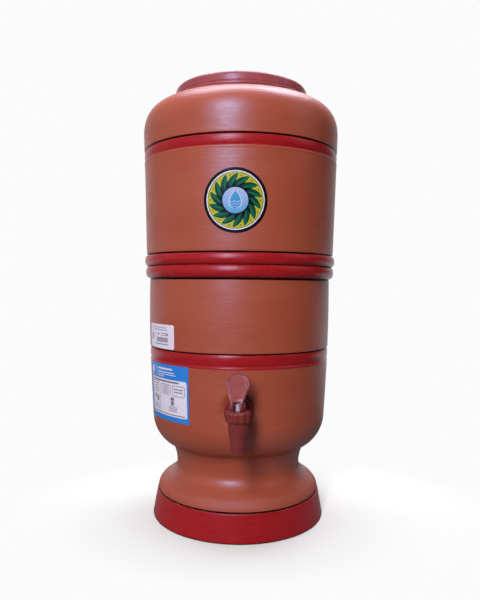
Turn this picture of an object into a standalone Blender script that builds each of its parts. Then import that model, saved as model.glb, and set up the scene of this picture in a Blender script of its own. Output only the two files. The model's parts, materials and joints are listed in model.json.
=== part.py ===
"""Clay water filter: two stacked clay vessels, a filter candle with a float valve, a lid and a lever tap.

Metres, +Z up, and the tap faces -Y. The origin is on the floor, in the middle of the box that the whole
filter fills, so the vessels' own axis stands BODY_SET_BACK behind it.
"""

import math

import bmesh
import bpy
from mathutils import Matrix, Vector

MM = 0.001

# Clearances shared by every piece that seats on, or passes through, another
SEAT_GAP = 0.3 * MM
RUNNING_GAP = 0.35 * MM

# How finely round pieces are divided
VESSEL_SIDES = 36
PART_SIDES = 24
SMALL_SIDES = 16
PIN_SIDES = 12

# Painted lines and bands that ring the clay
GROOVE_WIDTH = 2.0 * MM
GROOVE_DEPTH = 1.8 * MM
BAND_HEIGHT = 13.4 * MM
BAND_RECESS = 1.0 * MM
BAND_CROWN = 0.6 * MM
LEDGE_RISE = 0.4 * MM

# Foot and waist of the lower vessel
FOOT_RADIUS = 103.5 * MM
FOOT_BAND_HEIGHT = 31.0 * MM
FOOT_BAND_TOP_RADIUS = 97.8 * MM
FOOT_RIM_WIDTH = 15.0 * MM
FOOT_EDGE = 1.5 * MM
FOOT_CROWN_RADIUS = 97.0 * MM
FOOT_CROWN_WIDTH = 18.0 * MM
FOOT_CROWN_HEIGHT = 14.5 * MM
WAIST_RADIUS = 74.3 * MM
WAIST_FILLET_HEIGHT = 9.5 * MM
WAIST_HEIGHT = 30.4 * MM
WAIST_TOP_RADIUS = 77.0 * MM

# Bowl and wall of the lower vessel
BOWL_HEIGHT = 37.4 * MM
BOWL_TURN_WIDTH = 32.6 * MM
LOWER_WALL_BOTTOM_RADIUS = 104.3 * MM
LOWER_WALL_TOP_RADIUS = 109.3 * MM
LOWER_WALL_HEIGHT = 158.0 * MM
LOWER_WALL_BELLY = 1.0 * MM
LOWER_BAND_DROP = 80.0 * MM
LOWER_BEAD_HEIGHT = 13.5 * MM
LOWER_BEAD_RADIUS = 113.2 * MM
WALL = 10.0 * MM
FLOOR = 9.4 * MM

# Upper vessel
UPPER_BEAD_HEIGHT = 12.2 * MM
UPPER_BEAD_RADIUS = 114.4 * MM
UPPER_WALL_BOTTOM_RADIUS = 112.3 * MM
BODY_RADIUS = 116.8 * MM
UPPER_WALL_HEIGHT = 140.0 * MM
UPPER_BAND_DROP = 20.2 * MM
SHOULDER_INSIDE_COLLAR = 5.9 * MM
SHOULDER_HEIGHT = 40.0 * MM
SHOULDER_POWER = 2.5
SHOULDER_WALL = 8.0 * MM
SPIGOT_CLEARANCE = 1.3 * MM
SPIGOT_DEPTH = 11.0 * MM
UPPER_FLOOR = 11.0 * MM
CORNER = 8.0 * MM
COLLAR_WALL = 6.0 * MM
COLLAR_HEIGHT = 14.6 * MM

# Lid
LID_RADIUS = 79.6 * MM
LID_WALL = 2.2 * MM
LID_SKIRT_CLEARANCE = 0.9 * MM
LID_BEAD = 3.2 * MM
LID_FOOT_RISE = 2.7 * MM
LID_DISH_DEPTH = 1.3 * MM
LID_RING_WIDTH = 9.0 * MM

# Filter candle, its cap and its nut
CANDLE_RADIUS = 26.0 * MM
CANDLE_HEIGHT = 108.0 * MM
CANDLE_WALL = 7.0 * MM
CAP_WALL = 2.4 * MM
CAP_CUP_DEPTH = 9.0 * MM
CAP_FLOOR = 3.2 * MM
CANDLE_STEM_RADIUS = 6.0 * MM
CANDLE_STEM_BORE = 2.6 * MM
CANDLE_STEM_BELOW_FLOOR = 28.0 * MM
CANDLE_HOLE_CLEARANCE = 1.0 * MM
THREAD_PITCH = 4.0 * MM
THREAD_DEPTH = 0.7 * MM
CANDLE_WASHER_RADIUS = 22.0 * MM
CANDLE_WASHER = 2.5 * MM
WING_HUB_RADIUS = 10.5 * MM
WING_HUB_HEIGHT = 8.0 * MM
WING_SPAN = 21.0 * MM
WING_THICKNESS = 3.2 * MM
WING_HEIGHT = 13.0 * MM

# Float valve under the candle
VALVE_BODY_RADIUS = 9.0 * MM
VALVE_BODY_HEIGHT = 20.0 * MM
VALVE_SOCKET_DEPTH = 11.0 * MM
NOZZLE_RADIUS = 3.4 * MM
NOZZLE_LENGTH = 6.0 * MM
NOZZLE_BORE = 1.6 * MM
PIVOT_REACH = 14.0 * MM
ARM_THICKNESS = 6.0 * MM
ARM_DEPTH = 5.0 * MM
ARM_LENGTH = 60.0 * MM
ARM_TAIL = 6.0 * MM
ARM_DROOP = math.radians(30.0)
LUG_THICKNESS = 2.4 * MM
LUG_RADIUS = 4.2 * MM
PIVOT_PIN_RADIUS = 1.1 * MM
PAD_RADIUS = 5.0 * MM
PAD_THICKNESS = 2.6 * MM
FLOAT_RADIUS = 17.0 * MM
FLOAT_HEIGHT = 30.0 * MM
FLOAT_ROD_RADIUS = 1.8 * MM
FLOAT_ROD_LENGTH = 9.0 * MM

# Tap: where it is fixed, and its fluted head
TAP_RISE = 19.5 * MM
TAP_REACH = 31.5 * MM
HEAD_RADIUS = 13.2 * MM
HEAD_HEIGHT = 10.8 * MM
HEAD_ABOVE_SHANK = 7.0 * MM
HEAD_TOP = 3.0 * MM
HEAD_FLUTES = 12
FLUTE_DEPTH = 1.0 * MM
HEAD_EDGE = 1.0 * MM
CHAMBER_RADIUS = 8.8 * MM
BARREL_TOP_RADIUS = 11.0 * MM
BARREL_BELOW_SHANK = 8.2 * MM
NECK_RADIUS = 6.4 * MM
SHANK_RADIUS = 7.9 * MM
SHANK_BORE = 3.6 * MM
SHANK_HOLE_CLEARANCE = 0.8 * MM
SHANK_PAST_NUT = 3.0 * MM
FLANGE_RADIUS = 15.4 * MM
FLANGE = 3.0 * MM
SEAT_FACE_MARGIN = 1.2 * MM
SEAT_FACE_CUT = 0.7 * MM
OUTER_WASHER_RADIUS = 14.6 * MM
OUTER_WASHER = 2.0 * MM
INNER_WASHER_RADIUS = 12.6 * MM
INNER_WASHER = 2.2 * MM
NUT_RADIUS = 13.0 * MM
NUT_THICKNESS = 7.0 * MM

# Tap: spout, valve and stem
SPOUT_TOP_RADIUS = 10.4 * MM
SPOUT_TIP_RADIUS = 6.6 * MM
SPOUT_LENGTH = 27.0 * MM
SPOUT_BORE = 4.6 * MM
SPOUT_SPIGOT = 1.6 * MM
SEAT_TOP_RADIUS = 7.0 * MM
SEAT_DEPTH = 5.6 * MM
SEAT_CONE_HEIGHT = 3.5 * MM
PLUG_RIM = 2.4 * MM
PLUG_SIDE_GAP = 0.9 * MM
PLUG_FOOT_RADIUS = 3.8 * MM
PLUG_NECK_RADIUS = 3.5 * MM
PLUG_NECK_HEIGHT = 1.8 * MM
PLUG_SOCKET_DEPTH = 5.0 * MM
STEM_RADIUS = 2.3 * MM
STEM_BLADE_DEPTH = 5.0 * MM
STEM_BLADE_FOOT_WIDTH = 4.6 * MM
STEM_BLADE_TIP_WIDTH = 3.4 * MM
STEM_ABOVE_PIN = 2.6 * MM
O_RING_WIRE = 0.55 * MM
SPRING_RADIUS = 5.1 * MM
SPRING_WIRE_RADIUS = 0.45 * MM
SPRING_TURNS = 4

# Tap: lever
CAM_REST_RADIUS = 4.4 * MM
CAM_LIFT = 3.4 * MM
LEVER_SWING = math.radians(85.0)
LEVER_YAW = math.radians(20.0)
PADDLE_LEAN = math.radians(15.0)
PADDLE_LENGTH = 35.2 * MM
PADDLE_HALF_WIDTH = 12.3 * MM
PADDLE_THICKNESS = 2.8 * MM
PADDLE_RIM = 1.6 * MM
PADDLE_DISH_DEPTH = 1.0 * MM
FORK_HALF_WIDTH = 5.9 * MM
EARS_HALF_WIDTH = 6.2 * MM
EAR_THICKNESS = 2.5 * MM
FORK_DEPTH = 4.6 * MM
LEVER_PIN_RADIUS = 0.9 * MM
DISH_FOOT = 1.4 * MM

# Paper labels: each one's size, its distance from the nearest feature and its place round the vessel
LABEL_THICKNESS = 0.3 * MM
EMBLEM_RADIUS = 33.5 * MM
EMBLEM_BELOW_SHOULDER = 88.5 * MM
EMBLEM_AZIMUTH = math.radians(-2.5)
TICKET_SIZE = (55.0 * MM, 27.0 * MM)
TICKET_ABOVE_BAND = 0.6 * MM
TICKET_AZIMUTH = math.radians(-55.4)
CARE_SIZE = (77.0 * MM, 63.0 * MM)
CARE_BELOW_BAND = 1.2 * MM
CARE_AZIMUTH = math.radians(-51.0)

# Heights of the vessels' features above the floor
CROWN_FOOT_Z = FOOT_BAND_HEIGHT + GROOVE_WIDTH
CROWN_TOP_Z = CROWN_FOOT_Z + FOOT_CROWN_HEIGHT
WAIST_Z = CROWN_TOP_Z + WAIST_FILLET_HEIGHT
BOWL_FOOT_Z = WAIST_Z + WAIST_HEIGHT
LOWER_WALL_Z = BOWL_FOOT_Z + BOWL_HEIGHT
LOWER_WALL_TOP_Z = LOWER_WALL_Z + LOWER_WALL_HEIGHT
RIM_Z = LOWER_WALL_TOP_Z + GROOVE_WIDTH + LOWER_BEAD_HEIGHT
UPPER_Z = RIM_Z + SEAT_GAP
UPPER_WALL_Z = UPPER_Z + UPPER_BEAD_HEIGHT + GROOVE_WIDTH
SHOULDER_Z = UPPER_WALL_Z + UPPER_WALL_HEIGHT
SHOULDER_TOP_Z = SHOULDER_Z + SHOULDER_HEIGHT
COLLAR_TOP_Z = SHOULDER_TOP_Z + COLLAR_HEIGHT
LOWER_FLOOR_Z = BOWL_FOOT_Z + FLOOR
UPPER_FLOOR_Z = UPPER_Z - SPIGOT_DEPTH + UPPER_FLOOR
LOWER_BAND_TOP_Z = LOWER_WALL_TOP_Z - LOWER_BAND_DROP
UPPER_BAND_TOP_Z = SHOULDER_Z - UPPER_BAND_DROP

# Radii that follow from the ones above
COLLAR_RADIUS = LID_RADIUS - LID_WALL - LID_SKIRT_CLEARANCE
SHOULDER_WIDTH = BODY_RADIUS - COLLAR_RADIUS + SHOULDER_INSIDE_COLLAR
SPIGOT_RADIUS = LOWER_WALL_TOP_RADIUS - WALL - SPIGOT_CLEARANCE
CANDLE_HOLE = CANDLE_STEM_RADIUS + CANDLE_HOLE_CLEARANCE

# Tap stations: distances out from the vessels' axis along -Y, and heights above the floor
TAP_Z = LOWER_WALL_Z + TAP_RISE
HEAD_TOP_Z = TAP_Z + HEAD_ABOVE_SHANK
HEAD_FOOT_Z = HEAD_TOP_Z - HEAD_HEIGHT
BARREL_FOOT_Z = TAP_Z - BARREL_BELOW_SHANK
SPOUT_TOP_Z = BARREL_FOOT_Z - SEAT_GAP
PIN_Z = HEAD_TOP_Z + SEAT_GAP + CAM_REST_RADIUS
CAM_RATE = CAM_LIFT / LEVER_SWING


def lower_wall_radius(z):
    """Outside of the lower vessel's wall: a straight taper with a slight belly."""
    t = (z - LOWER_WALL_Z) / LOWER_WALL_HEIGHT
    taper = LOWER_WALL_BOTTOM_RADIUS + t * (LOWER_WALL_TOP_RADIUS - LOWER_WALL_BOTTOM_RADIUS)
    return taper + 4 * t * (1 - t) * LOWER_WALL_BELLY


def upper_wall_radius(z):
    """Outside of the upper vessel's wall: a straight taper, widest under the shoulder."""
    t = (z - UPPER_WALL_Z) / UPPER_WALL_HEIGHT
    return UPPER_WALL_BOTTOM_RADIUS + t * (BODY_RADIUS - UPPER_WALL_BOTTOM_RADIUS)


# The flat face that the tap's washer presses on is cut into the round wall, as is the one inside
SEAT_FACE_RADIUS = FLANGE_RADIUS + SEAT_FACE_MARGIN
OUTER_SEAT = math.sqrt(lower_wall_radius(TAP_Z - SEAT_FACE_RADIUS) ** 2 - SEAT_FACE_RADIUS**2) - SEAT_FACE_CUT
INNER_SEAT = lower_wall_radius(TAP_Z + SEAT_FACE_RADIUS) - WALL + SEAT_FACE_CUT
FLANGE_BACK = OUTER_SEAT + OUTER_WASHER + 2 * SEAT_GAP
NUT_FACE = INNER_SEAT - INNER_WASHER - 2 * SEAT_GAP
TAP_AXIS_DISTANCE = OUTER_SEAT + TAP_REACH
TAP_FRONT = TAP_AXIS_DISTANCE + HEAD_RADIUS
BODY_SET_BACK = (TAP_FRONT - BODY_RADIUS) / 2

FINISHES = {
    "clay": ((0.34, 0.098, 0.050), 0.55, 0.0),
    "red_paint": ((0.30, 0.010, 0.016), 0.35, 0.0),
    "black_line": ((0.012, 0.006, 0.006), 0.6, 0.0),
    "lid_plastic": ((0.27, 0.060, 0.058), 0.38, 0.0),
    "tap_plastic": ((0.23, 0.045, 0.036), 0.32, 0.0),
    "white_plastic": ((0.72, 0.72, 0.70), 0.4, 0.0),
    "filter_ceramic": ((0.80, 0.78, 0.73), 0.85, 0.0),
    "carbon": ((0.012, 0.012, 0.013), 0.9, 0.0),
    "rubber": ((0.02, 0.02, 0.02), 0.7, 0.0),
    "silicone": ((0.62, 0.60, 0.56), 0.5, 0.0),
    "steel": ((0.55, 0.55, 0.56), 0.25, 1.0),
    "yellow_label": ((0.58, 0.56, 0.06), 0.35, 0.0),
    "blue_label": ((0.03, 0.16, 0.58), 0.35, 0.0),
    "white_label": ((0.74, 0.72, 0.78), 0.4, 0.0),
}


def finish(name):
    """The material of one finish, made on first use."""
    material = bpy.data.materials.get(name)
    if material:
        return material
    colour, roughness, metallic = FINISHES[name]
    material = bpy.data.materials.new(name)
    material.use_nodes = True
    shader = material.node_tree.nodes["Principled BSDF"]
    shader.inputs["Base Color"].default_value = (*colour, 1.0)
    shader.inputs["Roughness"].default_value = roughness
    shader.inputs["Metallic"].default_value = metallic
    material.diffuse_color = (*colour, 1.0)
    return material


def add_object(name, data, finishes, parent):
    """Links an object that shows `data`, shaded smooth with its corners kept sharp."""
    for key in finishes:
        data.materials.append(finish(key))
    piece = bpy.data.objects.new(name, data)
    bpy.context.scene.collection.objects.link(piece)
    piece.parent = parent
    if piece.type == "MESH":
        data.shade_smooth()
        data.set_sharp_from_angle(angle=math.radians(35))
    return piece


def add_empty(name, location, parent=None, rotation=(0, 0, 0)):
    """A guide that other pieces hang on."""
    guide = bpy.data.objects.new(name, None)
    guide.location = location
    guide.rotation_euler = rotation
    guide.parent = parent
    bpy.context.scene.collection.objects.link(guide)
    return guide


def finished_mesh(name, bm):
    """Welds what touches, turns every face outwards and hands the shape over as a mesh."""
    bmesh.ops.remove_doubles(bm, verts=bm.verts, dist=1e-6)
    loose = [edge for edge in bm.edges if not edge.link_faces]
    bmesh.ops.delete(bm, geom=loose, context="EDGES")
    bmesh.ops.recalc_face_normals(bm, faces=bm.faces)
    mesh = bpy.data.meshes.new(name)
    bm.to_mesh(mesh)
    bm.free()
    return mesh


def ellipse(centre, half_width, half_height, start, end, steps, power=2):
    """Points of an elliptical arc in the (radius, height) plane, from one angle to another, in degrees.

    A power over 2 squares the arc up, by raising the cosine and the sine to 2 / power.
    """
    points = []
    for n in range(steps + 1):
        angle = math.radians(start + (end - start) * n / steps)
        across, up = math.cos(angle), math.sin(angle)
        across = math.copysign(abs(across) ** (2 / power), across)
        up = math.copysign(abs(up) ** (2 / power), up)
        points.append((centre[0] + half_width * across, centre[1] + half_height * up))
    return points


def turned_mesh(name, outline, sides, closed=True):
    """Turns an outline of (radius, height) points about Z. A closed outline makes a ring."""
    bm = bmesh.new()
    verts = [bm.verts.new((radius, 0, height)) for radius, height in outline]
    edges = [bm.edges.new(pair) for pair in zip(verts, verts[1:])]
    if closed:
        edges.append(bm.edges.new((verts[-1], verts[0])))
    bmesh.ops.spin(
        bm, geom=verts + edges, cent=(0, 0, 0), axis=(0, 0, 1), angle=2 * math.pi, steps=sides, use_merge=True
    )
    return finished_mesh(name, bm)


def turned(name, outline, key, parent, sides=PART_SIDES, closed=True):
    """A turned piece of one finish."""
    return add_object(name, turned_mesh(name, outline, sides, closed), [key], parent)


def prism_mesh(name, outline, bottom, top):
    """An outline of (x, y) points, carried straight up from one height to another."""
    bm = bmesh.new()
    face = bm.faces.new([bm.verts.new((x, y, bottom)) for x, y in outline])
    raised = bmesh.ops.extrude_face_region(bm, geom=[face])["geom"]
    lifted = [v for v in raised if isinstance(v, bmesh.types.BMVert)]
    bmesh.ops.translate(bm, verts=lifted, vec=(0, 0, top - bottom))
    return finished_mesh(name, bm)


def box_mesh(name, low, high):
    """A block between two corners."""
    outline = [(low[0], low[1]), (high[0], low[1]), (high[0], high[1]), (low[0], high[1])]
    return prism_mesh(name, outline, low[2], high[2])


def helper(name, mesh, parent, matrix=None):
    """A shape used only to join or cut another, and not part of the filter."""
    if matrix is not None:
        mesh.transform(matrix)
    tool = bpy.data.objects.new(name, mesh)
    bpy.context.scene.collection.objects.link(tool)
    tool.parent = parent
    tool.hide_render = True
    tool.display_type = "WIRE"
    return tool


def combine(piece, tool, operation):
    """Joins a helper's shape to a piece, or cuts it away."""
    modifier = piece.modifiers.new(f"{operation.lower()} {tool.name}", "BOOLEAN")
    modifier.operation = operation
    modifier.object = tool
    modifier.solver = "EXACT"


def disc_outline(radius, low, high):
    """Outline of a plain solid cylinder on the axis, for turning with closed=False."""
    return [(0, low), (radius, low), (radius, high), (0, high)]


def ring_outline(bore, radius, low, high):
    """Outline of a flat ring."""
    return [(bore, low), (radius, low), (radius, high), (bore, high)]


def threaded_side(radius, low, high):
    """Ridges of a coarse thread down a stem, from high to low."""
    ridges = max(2, round((high - low) / THREAD_PITCH))
    step = (high - low) / ridges
    points = [(radius - THREAD_DEPTH, high)]
    for n in range(ridges):
        crest = high - (n + 0.5) * step
        points += [(radius, crest), (radius - THREAD_DEPTH, crest - 0.5 * step)]
    return points


def painted_band(wall_radius, top_z):
    """A shallow red band from its lower ledge up to the dark groove over it."""
    foot_z = top_z - BAND_HEIGHT
    side = [(wall_radius(foot_z), foot_z, "red_paint")]
    for share, crown in ((0.0, 0.0), (0.3, 0.8), (0.7, 0.8), (1.0, 0.0)):
        z = foot_z + LEDGE_RISE + share * (BAND_HEIGHT - LEDGE_RISE)
        side.append((wall_radius(z) - BAND_RECESS + crown * BAND_CROWN, z, "red_paint"))
    return side[:-1] + groove(wall_radius, top_z, side[-1][0])


def groove(wall_radius, z, start_radius):
    """A dark line cut round the clay, open from z to GROOVE_WIDTH above it."""
    return [
        (start_radius, z, "black_line"),
        (wall_radius(z) - GROOVE_DEPTH, z + GROOVE_WIDTH / 2, "black_line"),
        (wall_radius(z + GROOVE_WIDTH), z + GROOVE_WIDTH, "clay"),
    ]


def bead(base_z, height, foot_radius, top_radius, crest_radius):
    """A rounded red bead between two radii."""
    points = []
    for degrees in (-90, -50, -15, 20, 55, 90):
        angle = math.radians(degrees)
        share = (1 + math.sin(angle)) / 2
        base = foot_radius + share * (top_radius - foot_radius)
        points.append((base + (crest_radius - base) * math.cos(angle), base_z + share * height, "red_paint"))
    return points


def lower_vessel_outline():
    """From the hollow foot's ceiling, out under the foot, up the outside and back down the inside."""
    crown_centre = (FOOT_CROWN_RADIUS - FOOT_CROWN_WIDTH, CROWN_FOOT_Z)
    crown = ellipse(crown_centre, FOOT_CROWN_WIDTH, FOOT_CROWN_HEIGHT, 0, 84, 5)
    fillet_width = crown_centre[0] - WAIST_RADIUS
    fillet_centre = (crown_centre[0], WAIST_Z)
    fillet = ellipse(fillet_centre, fillet_width, WAIST_FILLET_HEIGHT, 270 - 12, 180, 3)
    waist = []
    for share in (0.35, 0.6, 0.8, 1.0):
        flare = max(0.0, (share - 0.25) / 0.75) ** 1.5
        waist.append((WAIST_RADIUS + flare * (WAIST_TOP_RADIUS - WAIST_RADIUS), WAIST_Z + share * WAIST_HEIGHT))
    bowl_centre = (LOWER_WALL_BOTTOM_RADIUS - BOWL_TURN_WIDTH, LOWER_WALL_Z)
    start = -math.degrees(math.acos((WAIST_TOP_RADIUS - bowl_centre[0]) / BOWL_TURN_WIDTH))
    bowl = ellipse(bowl_centre, BOWL_TURN_WIDTH, BOWL_HEIGHT, start, 0, 6)[1:]
    hollow_radius = WAIST_RADIUS - WALL
    foot_inner = FOOT_RADIUS - FOOT_RIM_WIDTH
    ceiling_z = BOWL_FOOT_Z - WALL * 0.15
    inside = [
        (0, ceiling_z),
        (hollow_radius * 0.8, ceiling_z),
        (hollow_radius, ceiling_z - CORNER),
        (hollow_radius, WAIST_Z),
        (FOOT_CROWN_RADIUS - FOOT_CROWN_WIDTH - WALL / 2, CROWN_FOOT_Z),
        (foot_inner - FOOT_EDGE, CROWN_FOOT_Z * 0.7),
        (foot_inner, 0),
    ]
    outline = [(r, z, "clay") for r, z in inside]
    outline += [(FOOT_RADIUS - FOOT_EDGE, 0, "red_paint"), (FOOT_RADIUS, FOOT_EDGE, "red_paint")]
    outline += [
        (FOOT_BAND_TOP_RADIUS, FOOT_BAND_HEIGHT, "black_line"),
        (FOOT_BAND_TOP_RADIUS - GROOVE_DEPTH, FOOT_BAND_HEIGHT + GROOVE_WIDTH * 0.6, "black_line"),
    ]
    outline += [(r, z, "clay") for r, z in crown + fillet + waist + bowl]
    outline += painted_band(lower_wall_radius, LOWER_BAND_TOP_Z)
    outline += [(lower_wall_radius(z), z, "clay") for z in [LOWER_BAND_TOP_Z + LOWER_BAND_DROP / 2]]
    outline += groove(lower_wall_radius, LOWER_WALL_TOP_Z, LOWER_WALL_TOP_RADIUS)[:2]
    outline += bead(
        LOWER_WALL_TOP_Z + GROOVE_WIDTH,
        LOWER_BEAD_HEIGHT,
        LOWER_WALL_TOP_RADIUS,
        LOWER_WALL_TOP_RADIUS + 1 * MM,
        LOWER_BEAD_RADIUS,
    )
    mouth = LOWER_WALL_TOP_RADIUS - WALL
    floor_turn = (LOWER_WALL_BOTTOM_RADIUS - WALL - BOWL_TURN_WIDTH * 0.8, LOWER_WALL_Z)
    floor_curve = ellipse(floor_turn, BOWL_TURN_WIDTH * 0.8, LOWER_WALL_Z - LOWER_FLOOR_Z, 0, -90, 4)
    outline += [(mouth, RIM_Z, "clay"), (lower_wall_radius(LOWER_BAND_TOP_Z) - WALL, LOWER_BAND_TOP_Z, "clay")]
    outline += [(r, z, "clay") for r, z in floor_curve]
    outline.append((0, LOWER_FLOOR_Z, "clay"))
    return outline


def upper_vessel_outline():
    """From the rim of the floor's hole, out over the seat, up the outside, over the collar and down inside."""
    shoulder_centre = (BODY_RADIUS - SHOULDER_WIDTH, SHOULDER_Z)
    collar_share = SHOULDER_INSIDE_COLLAR / SHOULDER_WIDTH
    shoulder_end = math.degrees(math.acos(collar_share ** (SHOULDER_POWER / 2)))
    shoulder = ellipse(shoulder_centre, SHOULDER_WIDTH, SHOULDER_HEIGHT, 0, shoulder_end, 10, SHOULDER_POWER)
    neck = COLLAR_RADIUS - COLLAR_WALL
    inner_width = BODY_RADIUS - WALL - neck
    inner_shoulder = ellipse(
        (neck, SHOULDER_Z), inner_width, SHOULDER_HEIGHT - SHOULDER_WALL, 90, 0, 7, SHOULDER_POWER
    )
    underside = UPPER_Z - SPIGOT_DEPTH
    wall_inner = UPPER_WALL_BOTTOM_RADIUS - WALL
    outline = [
        (CANDLE_HOLE, underside, "clay"),
        (SPIGOT_RADIUS - FOOT_EDGE, underside, "clay"),
        (SPIGOT_RADIUS, underside + FOOT_EDGE, "clay"),
        (SPIGOT_RADIUS, UPPER_Z, "clay"),
    ]
    outline += bead(
        UPPER_Z, UPPER_BEAD_HEIGHT, LOWER_WALL_TOP_RADIUS + 1 * MM, UPPER_WALL_BOTTOM_RADIUS, UPPER_BEAD_RADIUS
    )[:-1]
    outline += groove(upper_wall_radius, UPPER_Z + UPPER_BEAD_HEIGHT, UPPER_WALL_BOTTOM_RADIUS)
    outline += painted_band(upper_wall_radius, UPPER_BAND_TOP_Z)
    outline += [(r, z, "clay") for r, z in shoulder]
    outline += [(COLLAR_RADIUS, COLLAR_TOP_Z, "clay"), (neck, COLLAR_TOP_Z, "clay")]
    outline += [(r, z, "clay") for r, z in inner_shoulder]
    outline += [
        (wall_inner, UPPER_WALL_Z, "clay"),
        (wall_inner, UPPER_FLOOR_Z + CORNER, "clay"),
        (wall_inner - CORNER, UPPER_FLOOR_Z, "clay"),
        (CANDLE_HOLE, UPPER_FLOOR_Z, "clay"),
    ]
    return outline


def vessel(name, outline, parent, closed):
    """A turned clay vessel whose faces take the paint named at the lower end of their outline segment."""
    points = [(r, z) for r, z, _ in outline]
    mesh = turned_mesh(name, points, VESSEL_SIDES, closed)
    paints = ["clay", "red_paint", "black_line"]
    piece = add_object(name, mesh, paints, parent)
    middles = []
    for (r0, z0, paint), (r1, z1, _) in zip(outline, outline[1:] + outline[:1]):
        middles.append((Vector(((r0 + r1) / 2, (z0 + z1) / 2)), paints.index(paint)))
    for face in mesh.polygons:
        ring = [mesh.vertices[v].co for v in face.vertices]
        here = Vector((sum(v.xy.length for v in ring) / len(ring), sum(v.z for v in ring) / len(ring)))
        face.material_index = min(middles, key=lambda m: (m[0] - here).length)[1]
    return piece


def along_minus_y(z):
    """Turns a shape made about +Z so that it points along -Y, at height z."""
    return Matrix.Translation((0, 0, z)) @ Matrix.Rotation(math.radians(90), 4, "X")


def make_lower_vessel(parent):
    piece = vessel("lower_vessel", lower_vessel_outline(), parent, closed=False)
    hole = SHANK_RADIUS + SHANK_HOLE_CLEARANCE
    outline = [
        (0, INNER_SEAT - WALL),
        (SEAT_FACE_RADIUS, INNER_SEAT - WALL),
        (SEAT_FACE_RADIUS, INNER_SEAT),
        (hole, INNER_SEAT),
        (hole, OUTER_SEAT),
        (SEAT_FACE_RADIUS, OUTER_SEAT),
        (SEAT_FACE_RADIUS, OUTER_SEAT + WALL),
        (0, OUTER_SEAT + WALL),
    ]
    mesh = turned_mesh("tap_hole", outline, PART_SIDES, closed=False)
    combine(piece, helper("tap_hole", mesh, parent, along_minus_y(TAP_Z)), "DIFFERENCE")


def make_lid(parent):
    """A shallow moulded cap with a rolled edge and a dished top."""
    foot_z = SHOULDER_TOP_Z + LID_FOOT_RISE
    under_z = COLLAR_TOP_Z + SEAT_GAP
    top_z = under_z + LID_WALL
    ring = LID_RADIUS - LID_RING_WIDTH
    outline = [
        (0, top_z - LID_DISH_DEPTH),
        (ring - 3 * MM, top_z - LID_DISH_DEPTH),
        (ring, top_z),
        (LID_RADIUS - 3.2 * MM, top_z),
        (LID_RADIUS - 1.2 * MM, top_z - 0.9 * MM),
        (LID_RADIUS - 0.6 * MM, top_z - 2.6 * MM),
        (LID_RADIUS - 0.3 * MM, foot_z + LID_BEAD + 1.2 * MM),
        (LID_RADIUS - 0.9 * MM, foot_z + LID_BEAD + 0.3 * MM),
        (LID_RADIUS, foot_z + 0.7 * LID_BEAD),
        (LID_RADIUS, foot_z + 0.2 * LID_BEAD),
        (LID_RADIUS - 0.5 * MM, foot_z),
        (LID_RADIUS - LID_WALL, foot_z),
        (LID_RADIUS - LID_WALL, under_z),
        (ring, under_z),
        (ring - 3 * MM, under_z - LID_DISH_DEPTH),
        (0, under_z - LID_DISH_DEPTH),
    ]
    turned("lid", outline, "lid_plastic", parent, VESSEL_SIDES, closed=False)


def make_candle(parent):
    """The ceramic candle in its plastic cap, clamped through the floor of the upper vessel."""
    washer_z = UPPER_FLOOR_Z + SEAT_GAP
    cap_z = washer_z + CANDLE_WASHER + SEAT_GAP
    shell_z = cap_z + CAP_FLOOR + SEAT_GAP
    top_z = shell_z + CANDLE_HEIGHT
    cup = CANDLE_RADIUS + SEAT_GAP
    dome_z = top_z - CANDLE_RADIUS
    cavity = CANDLE_RADIUS - CANDLE_WALL
    shell = [(cavity, shell_z), (CANDLE_RADIUS, shell_z)]
    shell += ellipse((0, dome_z), CANDLE_RADIUS, CANDLE_RADIUS, 0, 90, 6)
    shell += ellipse((0, dome_z), cavity, cavity, 90, 0, 4)
    turned("candle_shell", shell, "filter_ceramic", parent)
    core = [(0, shell_z + SEAT_GAP), (cavity - SEAT_GAP, shell_z + SEAT_GAP)]
    core += ellipse((0, dome_z), cavity - SEAT_GAP, cavity - SEAT_GAP, 0, 90, 4)
    turned("carbon_core", core, "carbon", parent, SMALL_SIDES, closed=False)
    stem_end = UPPER_Z - SPIGOT_DEPTH - CANDLE_STEM_BELOW_FLOOR
    base = [(CANDLE_STEM_BORE, cap_z + CAP_FLOOR), (cup, cap_z + CAP_FLOOR)]
    base += [(cup, cap_z + CAP_FLOOR + CAP_CUP_DEPTH), (cup + CAP_WALL, cap_z + CAP_FLOOR + CAP_CUP_DEPTH)]
    base += [(cup + CAP_WALL, cap_z + FOOT_EDGE), (cup + CAP_WALL - FOOT_EDGE, cap_z)]
    base += threaded_side(CANDLE_STEM_RADIUS, stem_end, cap_z)
    base.append((CANDLE_STEM_BORE, stem_end))
    turned("candle_cap", base, "white_plastic", parent)
    bore = CANDLE_STEM_RADIUS + SEAT_GAP
    upper = ring_outline(bore, CANDLE_WASHER_RADIUS, washer_z, washer_z + CANDLE_WASHER)
    turned("candle_washer", upper, "silicone", parent)
    under_z = UPPER_Z - SPIGOT_DEPTH - SEAT_GAP
    lower = ring_outline(bore, WING_HUB_RADIUS + 2 * MM, under_z - CANDLE_WASHER, under_z)
    turned("under_floor_washer", lower, "silicone", parent)
    nut_top = under_z - CANDLE_WASHER - SEAT_GAP
    hub = ring_outline(bore, WING_HUB_RADIUS, nut_top - WING_HUB_HEIGHT, nut_top)
    nut = turned("candle_wing_nut", hub, "white_plastic", parent)
    for side in (-1, 1):
        ends = sorted((side * (bore + 1.5 * MM), side * WING_SPAN))
        low = (ends[0], -WING_THICKNESS / 2, nut_top - WING_HEIGHT)
        high = (ends[1], WING_THICKNESS / 2, nut_top - WING_HEIGHT * 0.2)
        combine(nut, helper(f"wing_{side}", box_mesh(f"wing_{side}", low, high), parent), "UNION")
    return stem_end


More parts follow.
